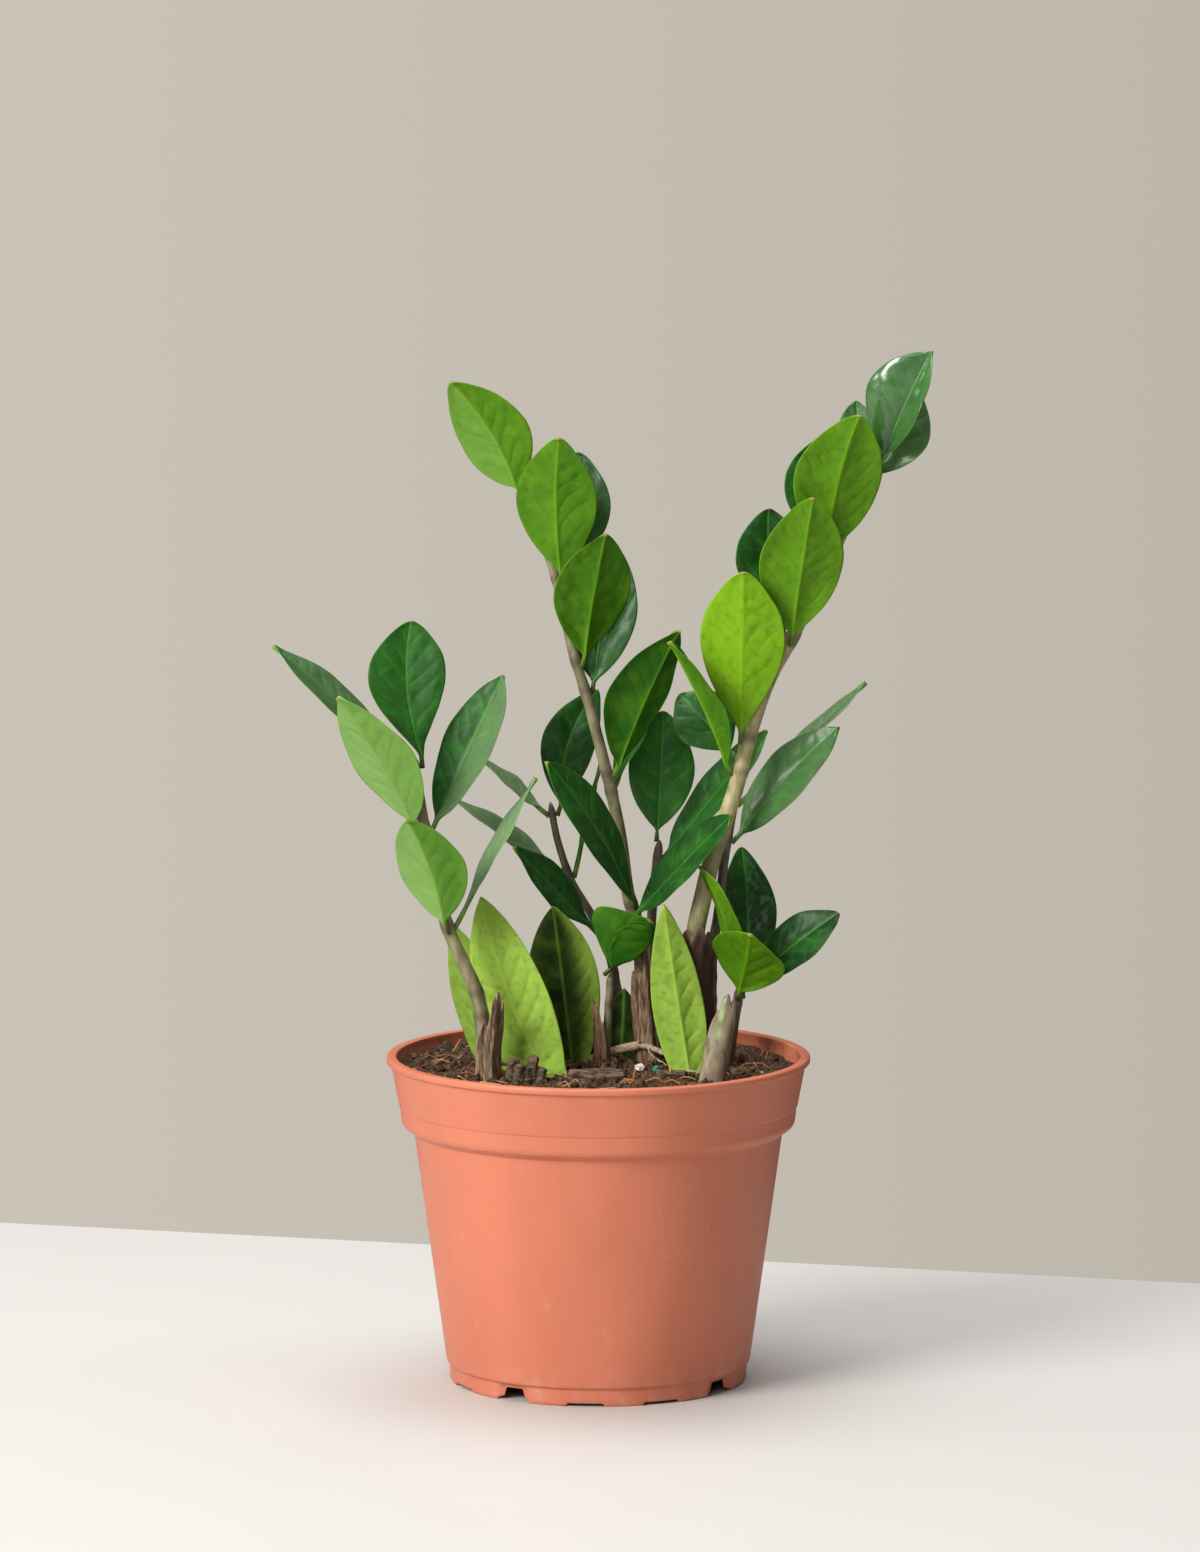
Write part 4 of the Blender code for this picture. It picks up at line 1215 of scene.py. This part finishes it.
# %% Bark colours
bark = Finish("bark", IOR=1.4)
ridges = bark.speckle(0.6, 5, (0.22, 1, 1))
lichen = bark.speckle(2.5, 3)
bark_colour = bark.layers(
    bark.blend(ridges.rise(0.3, 0.7), (0.035, 0.020, 0.013), (0.20, 0.13, 0.085)),
    (bark.mark("moss") * lichen.rise(0.4, 0.6) * 0.7, (0.10, 0.13, 0.03)),
)
BARK = bark.paint(
    Base_Color=bark_colour, Roughness=0.8 + ridges * 0.1, Normal=bark.relief(ridges + lichen * 0.4, 0.6)
)


# %% Bark strips and stub
LOG_ROWS, LOG_SIDES = 40, 36


def log_piece(start, end, radius, seed, squash=0.7, ragged=0.35):
    """A short rough length of bark from start to end, with broken ends."""
    share = np.linspace(0, 1, LOG_ROWS)
    start, end = np.array(start, float), np.array(end, float)
    line = start + (end - start) * share[:, None]
    ends = np.clip(np.minimum(share, 1 - share) / 0.06, 0, 1) ** 0.5

    def roughness(angle, s):
        x, y = math.cos(angle), math.sin(angle)
        coarse = noise.noise(Vector((x * 1.6, y * 1.6, s * 2.2 + seed)))
        return coarse + 0.6 * noise.noise(Vector((x * 5, y * 5, s * 3 + seed)))

    grid = np.array([[roughness(angle, s) for angle in turns(LOG_SIDES)] for s in share])
    radii = radius * (0.25 + 0.75 * ends)[:, None] * (1 + ragged * grid)
    points = tube(line, radii, LOG_SIDES)
    middle = line[:, None, 2]
    points[:, :, 2] = middle + (points[:, :, 2] - middle) * squash
    points[0] += grid[0][:, None] * (start - end) * 0.06
    points[-1] += grid[-1][:, None] * (end - start) * 0.06
    return points.reshape(-1, 3), loft_faces(LOG_ROWS, LOG_SIDES)


bark_pieces = [
    log_piece((-9.5, -12, 95.8), (8.5, -10.5, 95.6), 2.6, 1.0, 0.8),
    log_piece((17.5, -3.5, 95.2), (27.0, -4.5, 95.0), 2.0, 5.0, 0.55),
    log_piece((-52, 8, 95.0), (-45, 16, 95.2), 1.6, 8.0),
    log_piece((41, -2, 95.0), (49, 3, 95.3), 1.7, 11.0),
    log_piece((46, 24, 95.2), (39, 30, 95.6), 1.5, 14.0),
    log_piece((-20, 36, 95.0), (-12, 40, 95.2), 1.8, 17.0),
    log_piece((-6, -42, 95.0), (6, -38, 95.1), 1.9, 19.0),
]
lay_on_soil("bark_strips", bark_pieces, BARK, {"moss": 0.0})
stub_splinters = [
    ((-26.6, -16, 93.5), (-25.6, -16.5, 102.0), 1.9, 21.0),
    ((-24.6, -16.5, 93.5), (-24.2, -17, 100.4), 2.2, 24.0),
    ((-22.6, -16, 93.5), (-22.2, -16, 99.6), 2.2, 27.0),
    ((-20.8, -15.5, 93.5), (-19.6, -15, 102.6), 1.7, 30.0),
    ((-18.8, -15, 93.0), (-17.2, -14, 98.8), 1.9, 33.0),
]
stub_pieces = [log_piece(*splinter, 1.0, 0.28) for splinter in stub_splinters]
lay_on_soil("mossy_stub", stub_pieces, BARK, {"moss": 0.4})

# %% Dead root and rootlet
ROOT = grained("dead_root", (0.5, 4), ((0.16, 0.105, 0.065), (0.50, 0.39, 0.27)), (0.3, 0.7),
               (0.7, 0.15), 0.2, IOR=1.4)
root_parts = [
    bent_tube([(-3, 19, 95.5), (2, 17, 97.8), (7, 16.5, 99.4), (12.5, 16, 100.6)], 1.15, 40, 14, -0.25),
    bent_tube([(11.5, 16, 100.7), (16, 13.5, 100.4), (21, 9, 98.9), (27, 4, 97.2), (32, 0, 96.2),
               (34.2, -4, 95.2)], 0.95, 50, 12, 0.35),
    bent_tube([(33.8, -2.5, 95.8), (31, -4.5, 95.5), (28.5, -4.5, 96.0), (26.5, -3, 95.6)], 0.6, 30, 10, 0.5),
    bent_tube([(12, 16, 100.5), (12.8, 14.5, 101.8), (12.2, 13.5, 102.2)], 0.7, 16, 10, 0.6),
    bent_tube([(15, 13.5, 100.2), (16.5, 10, 98.5), (18.5, 6.5, 97.6), (21, 4, 96.2)], 0.28, 30, 8, 0.3),
    bent_tube([(-31.5, -4, 96.0), (-29.8, -5, 98.4), (-28, -5.5, 98.2), (-26.8, -6, 99.8)],
              0.75, 30, 12, 0.4),
]
points, faces = join(root_parts)
bumps = np.array([noise.noise(Vector(p) * 0.9) for p in points])
add_piece("dead_root_arch", points + 0.25 * bumps[:, None], faces, ROOT)

# %% Perlite and feed bead
PERLITE = grained("perlite", (0.7, 4), ((0.30, 0.24, 0.18), (0.72, 0.66, 0.56)), (0.3, 0.6),
                  (0.7, 0.2), 0.3, IOR=1.5)
grains = [(12.7, 3.0, 1.65), (-47, -8, 0.7), (30, 34, 0.8), (-8, 44, 0.9), (5, -30, 0.8), (50, -6, 0.6)]
stones = []
for k, (x, y, size) in enumerate(grains):
    ball, ball_faces = lump(size, 40 + k, 0.3, (1, 0.85, 0.8), 3)
    stones.append((ball + [x, y, soil_height(x, y) + 0.55 * size], ball_faces))
lay_on_soil("perlite_grains", stones, PERLITE)
BEAD = grained("feed_bead", (0.8, 3), ((0.003, 0.085, 0.050), (0.010, 0.16, 0.095)), (0.3, 0.7),
               (0.25, 0.15), IOR=1.5)
BEAD_X, BEAD_Y = 17.8, -1.0
ball, ball_faces = lump(1.5, 60, 0.05, (1, 1, 0.97), 4)
ball = ball + [BEAD_X, BEAD_Y, soil_height(BEAD_X, BEAD_Y) + 2.0]
add_piece("feed_bead_ball", ball, ball_faces, BEAD)
print("small things are on the soil")
